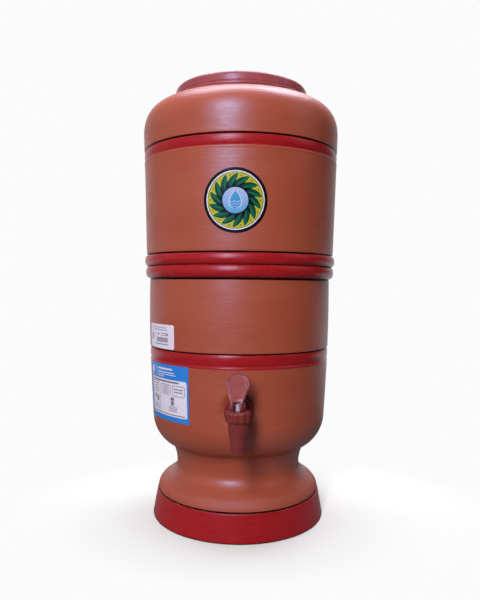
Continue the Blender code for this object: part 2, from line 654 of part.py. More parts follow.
def make_float_valve(parent, stem_end):
    """A float on an arm that shuts the candle's outlet when the lower vessel is full."""
    socket_z = stem_end - SEAT_GAP
    body_top = socket_z + VALVE_SOCKET_DEPTH
    body_foot = body_top - VALVE_BODY_HEIGHT
    nozzle_z = body_foot - NOZZLE_LENGTH
    socket = CANDLE_STEM_RADIUS + SEAT_GAP
    outline = [
        (NOZZLE_BORE, nozzle_z),
        (NOZZLE_RADIUS, nozzle_z),
        (NOZZLE_RADIUS + 1 * MM, body_foot),
        (VALVE_BODY_RADIUS, body_foot),
        (VALVE_BODY_RADIUS, body_top),
        (socket, body_top),
        (socket, socket_z),
        (NOZZLE_BORE, socket_z),
    ]
    pad_top = nozzle_z - SEAT_GAP
    arm_top = pad_top - PAD_THICKNESS - SEAT_GAP
    pivot_z = arm_top - ARM_DEPTH / 2
    body = turned("float_valve_body", outline, "white_plastic", parent, SMALL_SIDES)
    inner = ARM_THICKNESS / 2 + RUNNING_GAP
    outer = inner + LUG_THICKNESS
    web_z = pivot_z + ARM_TAIL * math.sin(ARM_DROOP) + ARM_DEPTH / 2 + SEAT_GAP
    web_low = (PIVOT_REACH + 1 * MM, -outer, web_z)
    web_high = (PIVOT_REACH + LUG_RADIUS, outer, body_foot + 4 * MM)
    combine(body, helper("lug_web", box_mesh("lug_web", web_low, web_high), parent), "UNION")
    for side in (-1, 1):
        near, far = sorted((side * inner, side * outer))
        low = (VALVE_BODY_RADIUS * 0.6, near, pivot_z - LUG_RADIUS)
        high = (PIVOT_REACH + LUG_RADIUS, far, body_foot + 4 * MM)
        combine(body, helper(f"lug_{side}", box_mesh(f"lug_{side}", low, high), parent), "UNION")
    hinge = add_empty("float_pivot", (PIVOT_REACH, 0, pivot_z), parent, (0, -ARM_DROOP, 0))
    across = Matrix.Rotation(math.radians(90), 4, "X")
    pin_hole = disc_outline(PIVOT_PIN_RADIUS + SEAT_GAP, -2 * outer, 2 * outer)
    hole = turned_mesh("pivot_hole", pin_hole, PIN_SIDES, closed=False)
    at_pivot = Matrix.Translation((PIVOT_REACH, 0, pivot_z)) @ across
    combine(body, helper("pivot_hole", hole, parent, at_pivot), "DIFFERENCE")
    pin = turned_mesh("float_pin", disc_outline(PIVOT_PIN_RADIUS, -outer, outer), PIN_SIDES, closed=False)
    pin.transform(across)
    add_object("float_pin", pin, ["steel"], hinge)
    rod_start = -ARM_LENGTH
    low = (rod_start, -ARM_THICKNESS / 2, -ARM_DEPTH / 2)
    high = (ARM_TAIL, ARM_THICKNESS / 2, ARM_DEPTH / 2)
    arm = add_object("float_arm", box_mesh("float_arm", low, high), ["white_plastic"], hinge)
    rod_outline = disc_outline(FLOAT_ROD_RADIUS, -FLOAT_ROD_LENGTH, FLOAT_ROD_LENGTH / 2)
    rod = turned_mesh("float_rod", rod_outline, PIN_SIDES, closed=False)
    to_minus_x = Matrix.Translation((rod_start, 0, 0)) @ Matrix.Rotation(math.radians(90), 4, "Y")
    combine(arm, helper("float_rod", rod, hinge, to_minus_x), "UNION")
    arm_hole = turned_mesh("arm_hole", pin_hole, PIN_SIDES, closed=False)
    combine(arm, helper("arm_hole", arm_hole, hinge, across), "DIFFERENCE")
    pad = turned_mesh(
        "valve_pad",
        disc_outline(PAD_RADIUS, ARM_DEPTH / 2 + SEAT_GAP, ARM_DEPTH / 2 + SEAT_GAP + PAD_THICKNESS),
        SMALL_SIDES,
        False,
    )
    pad.transform(Matrix.Translation((-PIVOT_REACH, 0, 0)))
    add_object("valve_pad", pad, ["rubber"], hinge)
    half = FLOAT_HEIGHT / 2
    capsule = [(0, -half)]
    capsule += ellipse((FLOAT_RADIUS - 6 * MM, -half + 6 * MM), 6 * MM, 6 * MM, -90, 0, 3)
    capsule += ellipse((FLOAT_RADIUS - 6 * MM, half - 6 * MM), 6 * MM, 6 * MM, 0, 90, 3)
    capsule.append((0, half))
    ball = turned("float", capsule, "white_plastic", hinge, PART_SIDES, closed=False)
    ball.location = (rod_start - SEAT_GAP - FLOAT_RADIUS, 0, 0)
    blind = disc_outline(FLOAT_ROD_RADIUS + SEAT_GAP, -FLOAT_ROD_LENGTH - SEAT_GAP, FLOAT_RADIUS)
    blind_hole = turned_mesh("float_hole", blind, PIN_SIDES, closed=False)
    combine(ball, helper("float_hole", blind_hole, hinge, to_minus_x), "DIFFERENCE")


def fluted_outline(radius):
    """Outline of the tap's head: even lobes with a narrow flute between each two, one flute at the front."""
    count = HEAD_FLUTES * 5
    points = []
    for n in range(count):
        angle = 2 * math.pi * n / count
        dip = FLUTE_DEPTH * abs(math.cos(HEAD_FLUTES * angle / 2)) ** 6
        points.append(((radius - dip) * math.sin(angle), -(radius - dip) * math.cos(angle)))
    return points


def fluted_head_mesh(name):
    """The head's outside as stacked rings, with its two edges eased."""
    levels = [
        (HEAD_FOOT_Z, HEAD_RADIUS - HEAD_EDGE / 2),
        (HEAD_FOOT_Z + HEAD_EDGE / 2, HEAD_RADIUS),
        (HEAD_TOP_Z - HEAD_EDGE, HEAD_RADIUS),
        (HEAD_TOP_Z, HEAD_RADIUS - HEAD_EDGE),
    ]
    bm = bmesh.new()
    rings = [[bm.verts.new((x, y, z)) for x, y in fluted_outline(radius)] for z, radius in levels]
    for lower, upper in zip(rings, rings[1:]):
        for n in range(len(lower)):
            after = (n + 1) % len(lower)
            bm.faces.new((lower[n], lower[after], upper[after], upper[n]))
    bm.faces.new(rings[0])
    bm.faces.new(rings[-1])
    return finished_mesh(name, bm)


def make_tap_body(parent, tap):
    """Fluted head, flange and threaded shank in one moulding, hollow for the valve."""
    body = add_object("tap_body", fluted_head_mesh("tap_body"), ["tap_plastic"], tap)
    shank_end = NUT_FACE - NUT_THICKNESS - SHANK_PAST_NUT
    shank = [(0, shank_end)] + threaded_side(SHANK_RADIUS, shank_end, FLANGE_BACK)[::-1]
    shank += [
        (FLANGE_RADIUS, FLANGE_BACK),
        (FLANGE_RADIUS, FLANGE_BACK + FLANGE - 0.8 * MM),
        (FLANGE_RADIUS - 0.8 * MM, FLANGE_BACK + FLANGE),
        (NECK_RADIUS, FLANGE_BACK + FLANGE),
        (NECK_RADIUS, TAP_AXIS_DISTANCE),
        (0, TAP_AXIS_DISTANCE),
    ]
    shank_mesh = turned_mesh("shank", shank, PART_SIDES, closed=False)
    combine(body, helper("shank", shank_mesh, parent, along_minus_y(TAP_Z)), "UNION")
    barrel = [
        (0, BARREL_FOOT_Z),
        (SPOUT_TOP_RADIUS, BARREL_FOOT_Z),
        (BARREL_TOP_RADIUS, HEAD_FOOT_Z),
        (BARREL_TOP_RADIUS, HEAD_FOOT_Z + HEAD_HEIGHT / 3),
        (0, HEAD_FOOT_Z + HEAD_HEIGHT / 3),
    ]
    barrel_mesh = turned_mesh("barrel", barrel, PART_SIDES, closed=False)
    combine(body, helper("barrel", barrel_mesh, tap), "UNION")
    gland = STEM_RADIUS + 2 * O_RING_WIRE + 2 * SEAT_GAP
    stem_hole = STEM_RADIUS + RUNNING_GAP
    hollow = [
        (0, BARREL_FOOT_Z - HEAD_TOP),
        (CHAMBER_RADIUS, BARREL_FOOT_Z - HEAD_TOP),
        (CHAMBER_RADIUS, HEAD_TOP_Z - HEAD_TOP),
        (gland, HEAD_TOP_Z - HEAD_TOP),
        (gland, HEAD_TOP_Z - HEAD_TOP / 2),
        (stem_hole, HEAD_TOP_Z - HEAD_TOP / 2),
        (stem_hole, HEAD_TOP_Z + HEAD_TOP),
        (0, HEAD_TOP_Z + HEAD_TOP),
    ]
    hollow_mesh = turned_mesh("hollow", hollow, PART_SIDES, closed=False)
    combine(body, helper("hollow", hollow_mesh, tap), "DIFFERENCE")
    inlet = disc_outline(SHANK_BORE, shank_end - WALL, TAP_AXIS_DISTANCE - CHAMBER_RADIUS / 2)
    inlet_mesh = turned_mesh("inlet", inlet, SMALL_SIDES, closed=False)
    combine(body, helper("inlet", inlet_mesh, parent, along_minus_y(TAP_Z)), "DIFFERENCE")


def make_tap_fixings(parent):
    """Two washers and the nut that clamp the shank through the wall."""
    bore = SHANK_RADIUS + SEAT_GAP
    outer = ring_outline(bore, OUTER_WASHER_RADIUS, OUTER_SEAT + SEAT_GAP, OUTER_SEAT + SEAT_GAP + OUTER_WASHER)
    inner_face = INNER_SEAT - SEAT_GAP
    inner = ring_outline(bore, INNER_WASHER_RADIUS, inner_face - INNER_WASHER, inner_face)
    for name, outline in (("tap_outer_washer", outer), ("tap_inner_washer", inner)):
        mesh = turned_mesh(name, outline, PART_SIDES)
        mesh.transform(along_minus_y(TAP_Z))
        add_object(name, mesh, ["rubber"], parent)
    corners = [(NUT_RADIUS * math.cos(n * math.pi / 3), NUT_RADIUS * math.sin(n * math.pi / 3)) for n in range(6)]
    nut = prism_mesh("tap_nut", corners, NUT_FACE - NUT_THICKNESS, NUT_FACE)
    nut.transform(along_minus_y(TAP_Z))
    piece = add_object("tap_nut", nut, ["tap_plastic"], parent)
    bore_outline = disc_outline(bore, NUT_FACE - 2 * NUT_THICKNESS, OUTER_SEAT)
    bore_mesh = turned_mesh("nut_bore", bore_outline, PART_SIDES, closed=False)
    combine(piece, helper("nut_bore", bore_mesh, parent, along_minus_y(TAP_Z)), "DIFFERENCE")


def make_spout(tap):
    """The conical spout, plugged into the head's underside, with the valve's seat in its top."""
    seat_z = SPOUT_TOP_Z - SEAT_DEPTH
    top = SPOUT_TOP_Z + SPOUT_SPIGOT
    spigot = CHAMBER_RADIUS - SEAT_GAP
    tip_z = SPOUT_TOP_Z - SPOUT_LENGTH
    outline = [
        (SPOUT_BORE, tip_z),
        (SPOUT_TIP_RADIUS - 0.5 * MM, tip_z),
        (SPOUT_TIP_RADIUS, tip_z + 0.5 * MM),
        (SPOUT_TOP_RADIUS, SPOUT_TOP_Z - 2.0 * MM),
        (SPOUT_TOP_RADIUS, SPOUT_TOP_Z),
        (spigot, SPOUT_TOP_Z),
        (spigot, top),
        (SEAT_TOP_RADIUS, top),
        (SEAT_TOP_RADIUS, seat_z),
        (SPOUT_BORE, seat_z - SEAT_CONE_HEIGHT),
    ]
    turned("tap_spout", outline, "tap_plastic", tap)


def make_valve(tap):
    """The plug that closes the spout, and the spring that presses it down."""
    seat_z = SPOUT_TOP_Z - SEAT_DEPTH
    slope = SEAT_CONE_HEIGHT / (SEAT_TOP_RADIUS - SPOUT_BORE)
    rim = SEAT_TOP_RADIUS - PLUG_SIDE_GAP
    raised = seat_z + SEAT_GAP * math.hypot(1, slope)
    rim_z = raised - PLUG_SIDE_GAP * slope
    foot_z = raised - (SEAT_TOP_RADIUS - PLUG_FOOT_RADIUS) * slope
    shoulder_z = rim_z + PLUG_RIM
    neck_z = shoulder_z + PLUG_NECK_HEIGHT
    socket_z = neck_z - PLUG_SOCKET_DEPTH
    socket = STEM_RADIUS + SEAT_GAP
    plug = [
        (0, foot_z),
        (PLUG_FOOT_RADIUS, foot_z),
        (rim, rim_z),
        (rim, shoulder_z),
        (PLUG_NECK_RADIUS, shoulder_z),
        (PLUG_NECK_RADIUS, neck_z),
        (socket, neck_z),
        (socket, socket_z),
        (0, socket_z),
    ]
    turned("valve_plug", plug, "silicone", tap, PART_SIDES, closed=False)
    low = shoulder_z + SEAT_GAP + SPRING_WIRE_RADIUS
    high = HEAD_TOP_Z - HEAD_TOP - SEAT_GAP - SPRING_WIRE_RADIUS
    steps = SPRING_TURNS * 12
    curve = bpy.data.curves.new("valve_spring", "CURVE")
    curve.dimensions = "3D"
    curve.bevel_depth = SPRING_WIRE_RADIUS
    curve.bevel_resolution = 1
    curve.use_fill_caps = True
    spline = curve.splines.new("POLY")
    spline.points.add(steps)
    for n, point in enumerate(spline.points):
        share = n / steps
        angle = 2 * math.pi * SPRING_TURNS * share
        rise = low + (high - low) * share
        point.co = (SPRING_RADIUS * math.cos(angle), SPRING_RADIUS * math.sin(angle), rise, 1)
    add_object("valve_spring", curve, ["steel"], tap)
    return socket_z


def make_stem(tap, socket_z):
    """A round rod below, and above the head a blade that narrows to the lever's pin."""
    rod = disc_outline(STEM_RADIUS, socket_z + SEAT_GAP, HEAD_TOP_Z)
    stem = turned("tap_stem", rod, "white_plastic", tap, SMALL_SIDES, closed=False)
    ring_z = HEAD_TOP_Z - HEAD_TOP + SEAT_GAP + O_RING_WIRE
    ring_mid = STEM_RADIUS + SEAT_GAP + O_RING_WIRE
    ring = ellipse((ring_mid, ring_z), O_RING_WIRE, O_RING_WIRE, 0, 300, 5)
    turned("stem_ring", ring, "rubber", tap, SMALL_SIDES)
    blade_top = PIN_Z + STEM_ABOVE_PIN
    blade_foot = HEAD_TOP_Z - STEM_RADIUS
    half_foot, half_tip = STEM_BLADE_FOOT_WIDTH / 2 - 0.6 * MM, STEM_BLADE_TIP_WIDTH / 2
    wide_z = HEAD_TOP_Z + 0.6 * MM
    front = [
        (-half_foot, blade_foot),
        (half_foot, blade_foot),
        (half_foot, HEAD_TOP_Z),
        (STEM_BLADE_FOOT_WIDTH / 2, wide_z),
        (half_tip, blade_top - 1 * MM),
        (half_tip - 0.8 * MM, blade_top),
        (0.8 * MM - half_tip, blade_top),
        (-half_tip, blade_top - 1 * MM),
        (-STEM_BLADE_FOOT_WIDTH / 2, wide_z),
        (-half_foot, HEAD_TOP_Z),
    ]
    blade = prism_mesh("stem_blade", front, -STEM_BLADE_DEPTH / 2 + 1 * MM, STEM_BLADE_DEPTH / 2 - 1 * MM)
    turn = Matrix.Rotation(-LEVER_YAW, 4, "Z") @ Matrix.Rotation(math.radians(90), 4, "X")
    combine(stem, helper("stem_blade", blade, tap, turn), "UNION")
    hole_outline = disc_outline(LEVER_PIN_RADIUS + SEAT_GAP, -HEAD_RADIUS, HEAD_RADIUS)
    hole = turned_mesh("stem_pin_hole", hole_outline, PIN_SIDES, closed=False)
    across = Matrix.Translation((0, 0, PIN_Z)) @ Matrix.Rotation(-LEVER_YAW, 4, "Z")
    across = across @ Matrix.Rotation(math.radians(90), 4, "Y")
    combine(stem, helper("stem_pin_hole", hole, tap, across), "DIFFERENCE")


def cam_outline():
    """Side of a lever ear, as (forward, up) points about the pin.

    Its front corner is the envelope of a line whose distance from the pin grows evenly with the angle the
    lever has turned, so the stem rises in proportion while the ear keeps its small gap over the head.
    """
    points = []
    steps = 8
    for n in range(steps + 1):
        angle = LEVER_SWING * n / steps
        reach = CAM_REST_RADIUS + CAM_RATE * angle
        down = reach * math.cos(angle) - CAM_RATE * math.sin(angle)
        forward = reach * math.sin(angle) + CAM_RATE * math.cos(angle)
        points.append((forward, -down))
    corner = points[-1]
    rise = (FORK_DEPTH + 3 * MM) * math.cos(PADDLE_LEAN)
    lean = (FORK_DEPTH + 3 * MM) * math.sin(PADDLE_LEAN)
    points.append((corner[0] - lean, corner[1] + rise))
    thick = PADDLE_THICKNESS * 0.9
    points.append((corner[0] - lean - thick, corner[1] + rise - thick * math.tan(PADDLE_LEAN)))
    for degrees in (70, 110, 150, 190, 230, 270):
        angle = math.radians(degrees)
        points.append((CAM_REST_RADIUS * math.cos(angle), CAM_REST_RADIUS * math.sin(angle)))
    return points, corner


def paddle_outline(inset, foot):
    """A teardrop: a round top drawn in along tangents to the fork, inset all round, and cut off at `foot`."""
    centre = PADDLE_LENGTH - PADDLE_HALF_WIDTH
    radius = PADDLE_HALF_WIDTH - inset
    corner = (FORK_HALF_WIDTH - inset, foot)
    far = math.hypot(corner[0], centre - corner[1])
    lean = math.atan2(corner[0], centre - corner[1])
    tangent = math.acos(radius / far) + lean - math.pi / 2
    steps = 12
    angles = [tangent + (math.pi - 2 * tangent) * n / steps for n in range(steps + 1)]
    arc = [(radius * math.cos(a), centre + radius * math.sin(a)) for a in angles]
    return [corner] + arc + [(-corner[0], foot)]


def make_lever(tap):
    """The paddle, its two cam ears and the pin that joins it to the stem."""
    hinge = add_empty("lever_pivot", (0, 0, PIN_Z), tap, (0, 0, -LEVER_YAW))
    side, corner = cam_outline()
    upright = Matrix.Rotation(math.radians(90), 4, "X")
    leaned = (
        Matrix.Translation((0, -corner[0], corner[1]))
        @ Matrix.Rotation(-PADDLE_LEAN, 4, "X")
        @ upright
    )
    plate = prism_mesh("lever", paddle_outline(0, 0), -PADDLE_THICKNESS, 0)
    plate.transform(leaned)
    lever = add_object("lever", plate, ["tap_plastic"], hinge)
    swung = Matrix(((0, 0, 1, 0), (-1, 0, 0, 0), (0, 1, 0, 0), (0, 0, 0, 1)))
    ears = prism_mesh("ears", side, -EARS_HALF_WIDTH, EARS_HALF_WIDTH)
    combine(lever, helper("ears", ears, hinge, swung), "UNION")
    gap_half = EARS_HALF_WIDTH - EAR_THICKNESS
    low = (-gap_half, -3 * HEAD_RADIUS, -3 * HEAD_RADIUS)
    high = (gap_half, 3 * HEAD_RADIUS, corner[1] + FORK_DEPTH)
    combine(lever, helper("fork_gap", box_mesh("fork_gap", low, high), hinge), "DIFFERENCE")
    dish = prism_mesh("dish", paddle_outline(PADDLE_RIM, FORK_DEPTH + DISH_FOOT), -PADDLE_DISH_DEPTH, 1 * MM)
    combine(lever, helper("dish", dish, hinge, leaned), "DIFFERENCE")
    across = Matrix.Rotation(math.radians(90), 4, "Y")
    hole_outline = disc_outline(LEVER_PIN_RADIUS + SEAT_GAP, -HEAD_RADIUS, HEAD_RADIUS)
    hole = turned_mesh("ear_holes", hole_outline, PIN_SIDES, closed=False)
    combine(lever, helper("ear_holes", hole, hinge, across), "DIFFERENCE")
    pin_outline = disc_outline(LEVER_PIN_RADIUS, -EARS_HALF_WIDTH, EARS_HALF_WIDTH)
    pin = turned_mesh("lever_pin", pin_outline, PIN_SIDES, closed=False)
    pin.transform(across)
    add_object("lever_pin", pin, ["steel"], hinge)


def wrapped(azimuth, arc, z, radius):
    """The place on a wall at an arc length round from an azimuth, measured from the front."""
    angle = azimuth + arc / radius
    return Vector((radius * math.sin(angle), -radius * math.cos(angle), z))


def label_mesh(name, rings, azimuth, wall_radius):
    """A thin label bent round a wall. Each ring is a loop of (arc, height) points, from the rim to the middle."""
    bm = bmesh.new()
    sheets = []
    for offset in (SEAT_GAP, SEAT_GAP + LABEL_THICKNESS):
        sheet = []
        for ring in rings:
            sheet.append([bm.verts.new(wrapped(azimuth, s, z, wall_radius(z) + offset)) for s, z in ring])
        for outer, inner in zip(sheet, sheet[1:]):
            for n in range(len(outer)):
                after = (n + 1) % len(outer)
                bm.faces.new((outer[n], outer[after], inner[after % len(inner)], inner[n % len(inner)]))
        bm.faces.new(sheet[-1])
        sheets.append(sheet[0])
    for n in range(len(sheets[0])):
        after = (n + 1) % len(sheets[0])
        bm.faces.new((sheets[0][n], sheets[0][after], sheets[1][after], sheets[1][n]))
    bmesh.ops.triangulate(bm, faces=bm.faces)
    return finished_mesh(name, bm)


def strip_mesh(name, size, centre_z, azimuth, wall_radius, columns=10):
    """An oblong label as a bent plate: even columns round the wall, flat from top to bottom."""
    width, height = size
    bm = bmesh.new()
    loops = []
    for n in range(columns + 1):
        arc = width * (n / columns - 0.5)
        corners = []
        for z, offset in (
            (centre_z - height / 2, SEAT_GAP),
            (centre_z + height / 2, SEAT_GAP),
            (centre_z + height / 2, SEAT_GAP + LABEL_THICKNESS),
            (centre_z - height / 2, SEAT_GAP + LABEL_THICKNESS),
        ):
            corners.append(bm.verts.new(wrapped(azimuth, arc, z, wall_radius(z) + offset)))
        loops.append(corners)
    for left, right in zip(loops, loops[1:]):
        for n in range(4):
            after = (n + 1) % 4
            bm.faces.new((left[n], left[after], right[after], right[n]))
    bm.faces.new(loops[0])
    bm.faces.new(loops[-1])
    return finished_mesh(name, bm)


def make_labels(upper, lower):
    """A round emblem on the upper vessel, and a small ticket and a care card on the lower one."""
    emblem_z = SHOULDER_Z - EMBLEM_BELOW_SHOULDER
    rings = []
    for share in (1.0, 0.6, 0.25):
        count = 28
        turns = [2 * math.pi * n / count for n in range(count)]
        radius = EMBLEM_RADIUS * share
        rings.append([(radius * math.cos(a), emblem_z + radius * math.sin(a)) for a in turns])
    emblem = label_mesh("emblem_label", rings, EMBLEM_AZIMUTH, upper_wall_radius)
    add_object("emblem_label", emblem, ["yellow_label"], upper)
    ticket_z = LOWER_BAND_TOP_Z + GROOVE_WIDTH + TICKET_ABOVE_BAND + TICKET_SIZE[1] / 2
    ticket = strip_mesh("ticket_label", TICKET_SIZE, ticket_z, TICKET_AZIMUTH, lower_wall_radius)
    add_object("ticket_label", ticket, ["white_label"], lower)
    care_z = LOWER_BAND_TOP_Z - BAND_HEIGHT - CARE_BELOW_BAND - CARE_SIZE[1] / 2
    care = strip_mesh("care_label", CARE_SIZE, care_z, CARE_AZIMUTH, lower_wall_radius)
    add_object("care_label", care, ["blue_label"], lower)


def main():
    for old in list(bpy.data.objects):
        bpy.data.objects.remove(old, do_unlink=True)
    axis = add_empty("vessel_axis", (0, BODY_SET_BACK, 0))
    tap = add_empty("tap_axis", (0, -TAP_AXIS_DISTANCE, 0), axis)
    make_lower_vessel(axis)
    vessel("upper_vessel", upper_vessel_outline(), axis, closed=True)
    make_lid(axis)
    stem_end = make_candle(axis)
    make_float_valve(axis, stem_end)
    make_tap_body(axis, tap)
    make_tap_fixings(axis)
    make_spout(tap)
    socket_z = make_valve(tap)
    make_stem(tap, socket_z)
    make_lever(tap)
    make_labels(axis, axis)


main()
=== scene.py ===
"""The looks of the clay water filter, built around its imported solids.

Lengths are millimetres, and surface() turns them into metres. Heights are over the floor, and angles round a
vessel start at its front and grow to the right. The camera and the lamps are placed in metres.
"""

import json
import math

import bpy
import numpy as np
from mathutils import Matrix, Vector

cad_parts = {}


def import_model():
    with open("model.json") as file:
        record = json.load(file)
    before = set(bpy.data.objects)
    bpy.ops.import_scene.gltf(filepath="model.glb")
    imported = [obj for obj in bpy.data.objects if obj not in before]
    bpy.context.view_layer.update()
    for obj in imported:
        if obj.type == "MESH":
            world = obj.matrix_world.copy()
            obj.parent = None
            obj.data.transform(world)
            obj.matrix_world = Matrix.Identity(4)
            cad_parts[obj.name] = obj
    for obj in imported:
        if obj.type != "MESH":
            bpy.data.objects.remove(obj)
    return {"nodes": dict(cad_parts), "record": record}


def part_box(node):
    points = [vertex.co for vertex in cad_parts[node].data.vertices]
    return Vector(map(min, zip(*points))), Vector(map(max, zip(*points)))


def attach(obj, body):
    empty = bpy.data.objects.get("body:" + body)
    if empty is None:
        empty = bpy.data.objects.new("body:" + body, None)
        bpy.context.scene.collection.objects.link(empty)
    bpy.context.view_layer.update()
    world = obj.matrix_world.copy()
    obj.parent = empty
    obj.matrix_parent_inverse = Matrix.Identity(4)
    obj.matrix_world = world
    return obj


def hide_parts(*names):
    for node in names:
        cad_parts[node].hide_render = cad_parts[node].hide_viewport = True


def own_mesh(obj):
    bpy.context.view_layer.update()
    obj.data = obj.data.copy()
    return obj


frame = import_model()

MM = 0.001
SHARP = math.radians(38)
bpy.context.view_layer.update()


def middle(node):
    """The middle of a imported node's box, in millimetres."""
    low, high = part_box(node)
    return (low + high) / 2 / MM


AXIS_Y = middle("lid").y
TAP_Y = middle("tap_spout").y
PIN_Z = middle("lever_pin").z

# Lower vessel
FOOT_RADIUS = 103.5
FOOT_BAND_TOP = 31.0
FOOT_BAND_TOP_RADIUS = 97.8
FOOT_INNER_RADIUS = 88.5
GROOVE = 2.0
GROOVE_DEPTH = 1.8
CROWN_Z = FOOT_BAND_TOP + GROOVE
CROWN_CENTRE = 78.0
CROWN_SIZE = (19.0, 15.5)
CROWN_END = 52
WAIST_Z = 63.5
WAIST_RADIUS = 74.6
BOWL_FOOT_RADIUS = 82.0
BOWL_TURN = (32.6, 39.6)
LOWER_WALL_Z = 124.8
LOWER_WALL_TOP_Z = 282.8
LOWER_WALL_RADII = (104.3, 109.3)
LOWER_BAND_TOP = 202.8
LOWER_BEAD_RADIUS = 113.2
RIM_Z = 298.3
LOWER_BAND_HEIGHT = 13.4
WALL = 10.0
CHAMBER_FLOOR_Z = 96.8

# Upper vessel
UPPER_Z = 298.6
UPPER_BEAD_HEIGHT = 12.2
UPPER_BEAD_RADIUS = 114.4
UPPER_WALL_Z = 312.8
UPPER_WALL_RADII = (112.3, 116.8)
UPPER_BAND_TOP = 432.6
UPPER_BAND_HEIGHT = 12.0
SHOULDER_Z = 452.8
SHOULDER_TURN = (46.2, 40.0)
SHOULDER_POWER = 2.5
COLLAR_RADIUS = 76.5
COLLAR_WALL = 6.0
COLLAR_TOP_Z = 507.4
SPIGOT_RADIUS = 98.0
SPIGOT_FOOT_Z = 287.6
CANDLE_HOLE = 7.0

# Lid
LID_RADIUS = 79.6
LID_FOOT_Z = 495.5
LID_TOP_Z = 509.9
LID_WALL = 2.2
LID_DISH_RADIUS = 69.0

# Tap
TAP_Z = 144.3
OUTER_SEAT = 102.436
INNER_SEAT = 96.848
SEAT_RADIUS = 16.6
FLANGE_BACK = 105.036
FLANGE_RADIUS = 15.4
FLANGE = 3.0
SHANK_END = 84.05
SHANK_RADIUS = 7.9
SHANK_BORE = 3.6
THREAD_PITCH = 2.4
THREAD_DEPTH = 0.6
NECK_RADIUS = 6.4
HEAD_TOP_Z = 151.3
HEAD_FOOT_Z = 140.5
HEAD_RADIUS = 13.2
FLUTES = 10
FLUTE_DEPTH = 1.2
FLUTE_START = math.radians(4.5)
BARREL_FOOT_Z = 136.1
BARREL_RADIUS = 9.9
CHAMBER_RADIUS = 8.8
SPOUT_TOP_Z = 135.8
SPOUT_TIP_Z = 108.8
SPOUT_RADII = (7.1, 10.3)
SLEEVE_RADIUS = 10.9
SPOUT_BORE = 4.6
STEM_RADIUS = 2.3
LEVER_YAW = math.radians(20)
PADDLE_LEAN = math.radians(15)
PADDLE_LENGTH = 33.6
PADDLE_HALF_WIDTH = 12.3
PADDLE_THICKNESS = 2.8
FORK_HALF_WIDTH = 5.9
EARS_HALF_WIDTH = 6.2
EAR_THICKNESS = 2.5
FORK_DEPTH = 3.2
CAM_RADIUS = 4.4
CAM_LIFT = 3.4
SPRING_TURNS = 4
SPRING_RADIUS = 5.1
SPRING_WIRE = 0.45
SPRING_FOOT_Z = 132.57
SPRING_TOP_Z = 147.55

# Candle and float valve
NUT_BORE = 6.3
NUT_RADIUS = 10.5
NUT_FOOT_Z = 276.5
NUT_TOP_Z = 284.5
VALVE_RADIUS = 9.0
VALVE_TOP_Z = 270.3
VALVE_FOOT_Z = 250.3
NOZZLE_FOOT_Z = 244.3
NOZZLE_BORE = 1.6
LUGS_HALF_WIDTH = 5.75
LUGS_HALF_GAP = 3.35
FLOAT_PIN_X = 14.0
FLOAT_PIN_Z = 238.6
FLOAT_REACH = 77.3
ARM_SLOPE = math.radians(30)
LEVER_SWING = math.radians(85)
PIN_HOLE = 1.2

# Labels: width, height and corner, and the height and bearing of the middle with the radius of the wall there
EMBLEM_RADIUS = 33.5
EMBLEM_SPOT = (364.3, -2.5, 114)
TICKET_SIZE = (55, 27, 3)
TICKET_SPOT = (218.9, -55.4, 107.6)
CARD_SIZE = (77, 63, 0.8)
CARD_SPOT = (156.7, -51.0, 106.1)

# Painted places: lowest and highest height, and how far from the axis the paint starts. The dark lines fill
# the grooves, and the lowest one is a painted shadow along the foot's bottom edge
RED_BANDS = [
    (-1.0, FOOT_BAND_TOP, 95.0),
    (LOWER_BAND_TOP - LOWER_BAND_HEIGHT - 1.8, LOWER_BAND_TOP, 102.0),
    (LOWER_WALL_TOP_Z + GROOVE, RIM_Z - 0.2, 108.0),
    (UPPER_Z, UPPER_Z + UPPER_BEAD_HEIGHT, 108.0),
    (UPPER_BAND_TOP - UPPER_BAND_HEIGHT + 0.4, UPPER_BAND_TOP, 108.0),
]
DARK_LINES_AND_FOOT_SHADOW = [
    # A painted shadow along the foot's bottom edge, where it meets the floor
    (-1.0, 1.4, 94.0),
    (FOOT_BAND_TOP + 0.1, FOOT_BAND_TOP + 1.7, 94.0),
    (LOWER_BAND_TOP, LOWER_BAND_TOP + 1.6, 102.0),
    (LOWER_WALL_TOP_Z - 0.3, LOWER_WALL_TOP_Z + 1.9, 102.0),
    (UPPER_Z + UPPER_BEAD_HEIGHT, UPPER_Z + UPPER_BEAD_HEIGHT + 1.6, 106.0),
    (UPPER_BAND_TOP, UPPER_BAND_TOP + 1.6, 108.0),
]


# Lines and surfaces

def fuller(wave, power):
    """A sine or cosine w as sign(w) |w| to the power 2 / n: a squarer ellipse when n is over 2."""
    return np.sign(wave) * np.abs(wave) ** (2 / power)


def arc(centre, half_width, half_height, start, end, steps, power=2):
    """Points of an ellipse from one angle to another, in degrees. A power over 2 squares it up."""
    angle = np.radians(np.linspace(start, end, steps + 1))
    across = fuller(np.cos(angle), power)
    up = fuller(np.sin(angle), power)
    return np.column_stack([centre[0] + half_width * across, centre[1] + half_height * up])


def near(radius, height, corners):
    """Corners that are given by how far they stand from one place."""
    return [(radius + out, height + up, ease) for out, up, ease in corners]


def eased(corners):
    """A run of lines through (radius, height, ease) corners.

    Each is a parabola that leaves one line `ease` before the corner and meets the next `ease` after it.
    """
    spots = np.array([corner[:2] for corner in corners], float)
    run = [spots[:1]]
    for before, here, after, corner in zip(spots, spots[1:], spots[2:], corners[1:]):
        ease = corner[2]
        start = here + (before - here) * min(0.5, ease / np.linalg.norm(before - here))
        end = here + (after - here) * min(0.5, ease / np.linalg.norm(after - here))
        t = np.linspace(0, 1, 6 if ease > 0 else 1)[:, None]
        run.append((1 - t) ** 2 * start + 2 * t * (1 - t) * here + t**2 * end)
    run.append(spots[-1:])
    return np.concatenate(run)


def direction(start, end):
    return (end - start) / np.linalg.norm(end - start)


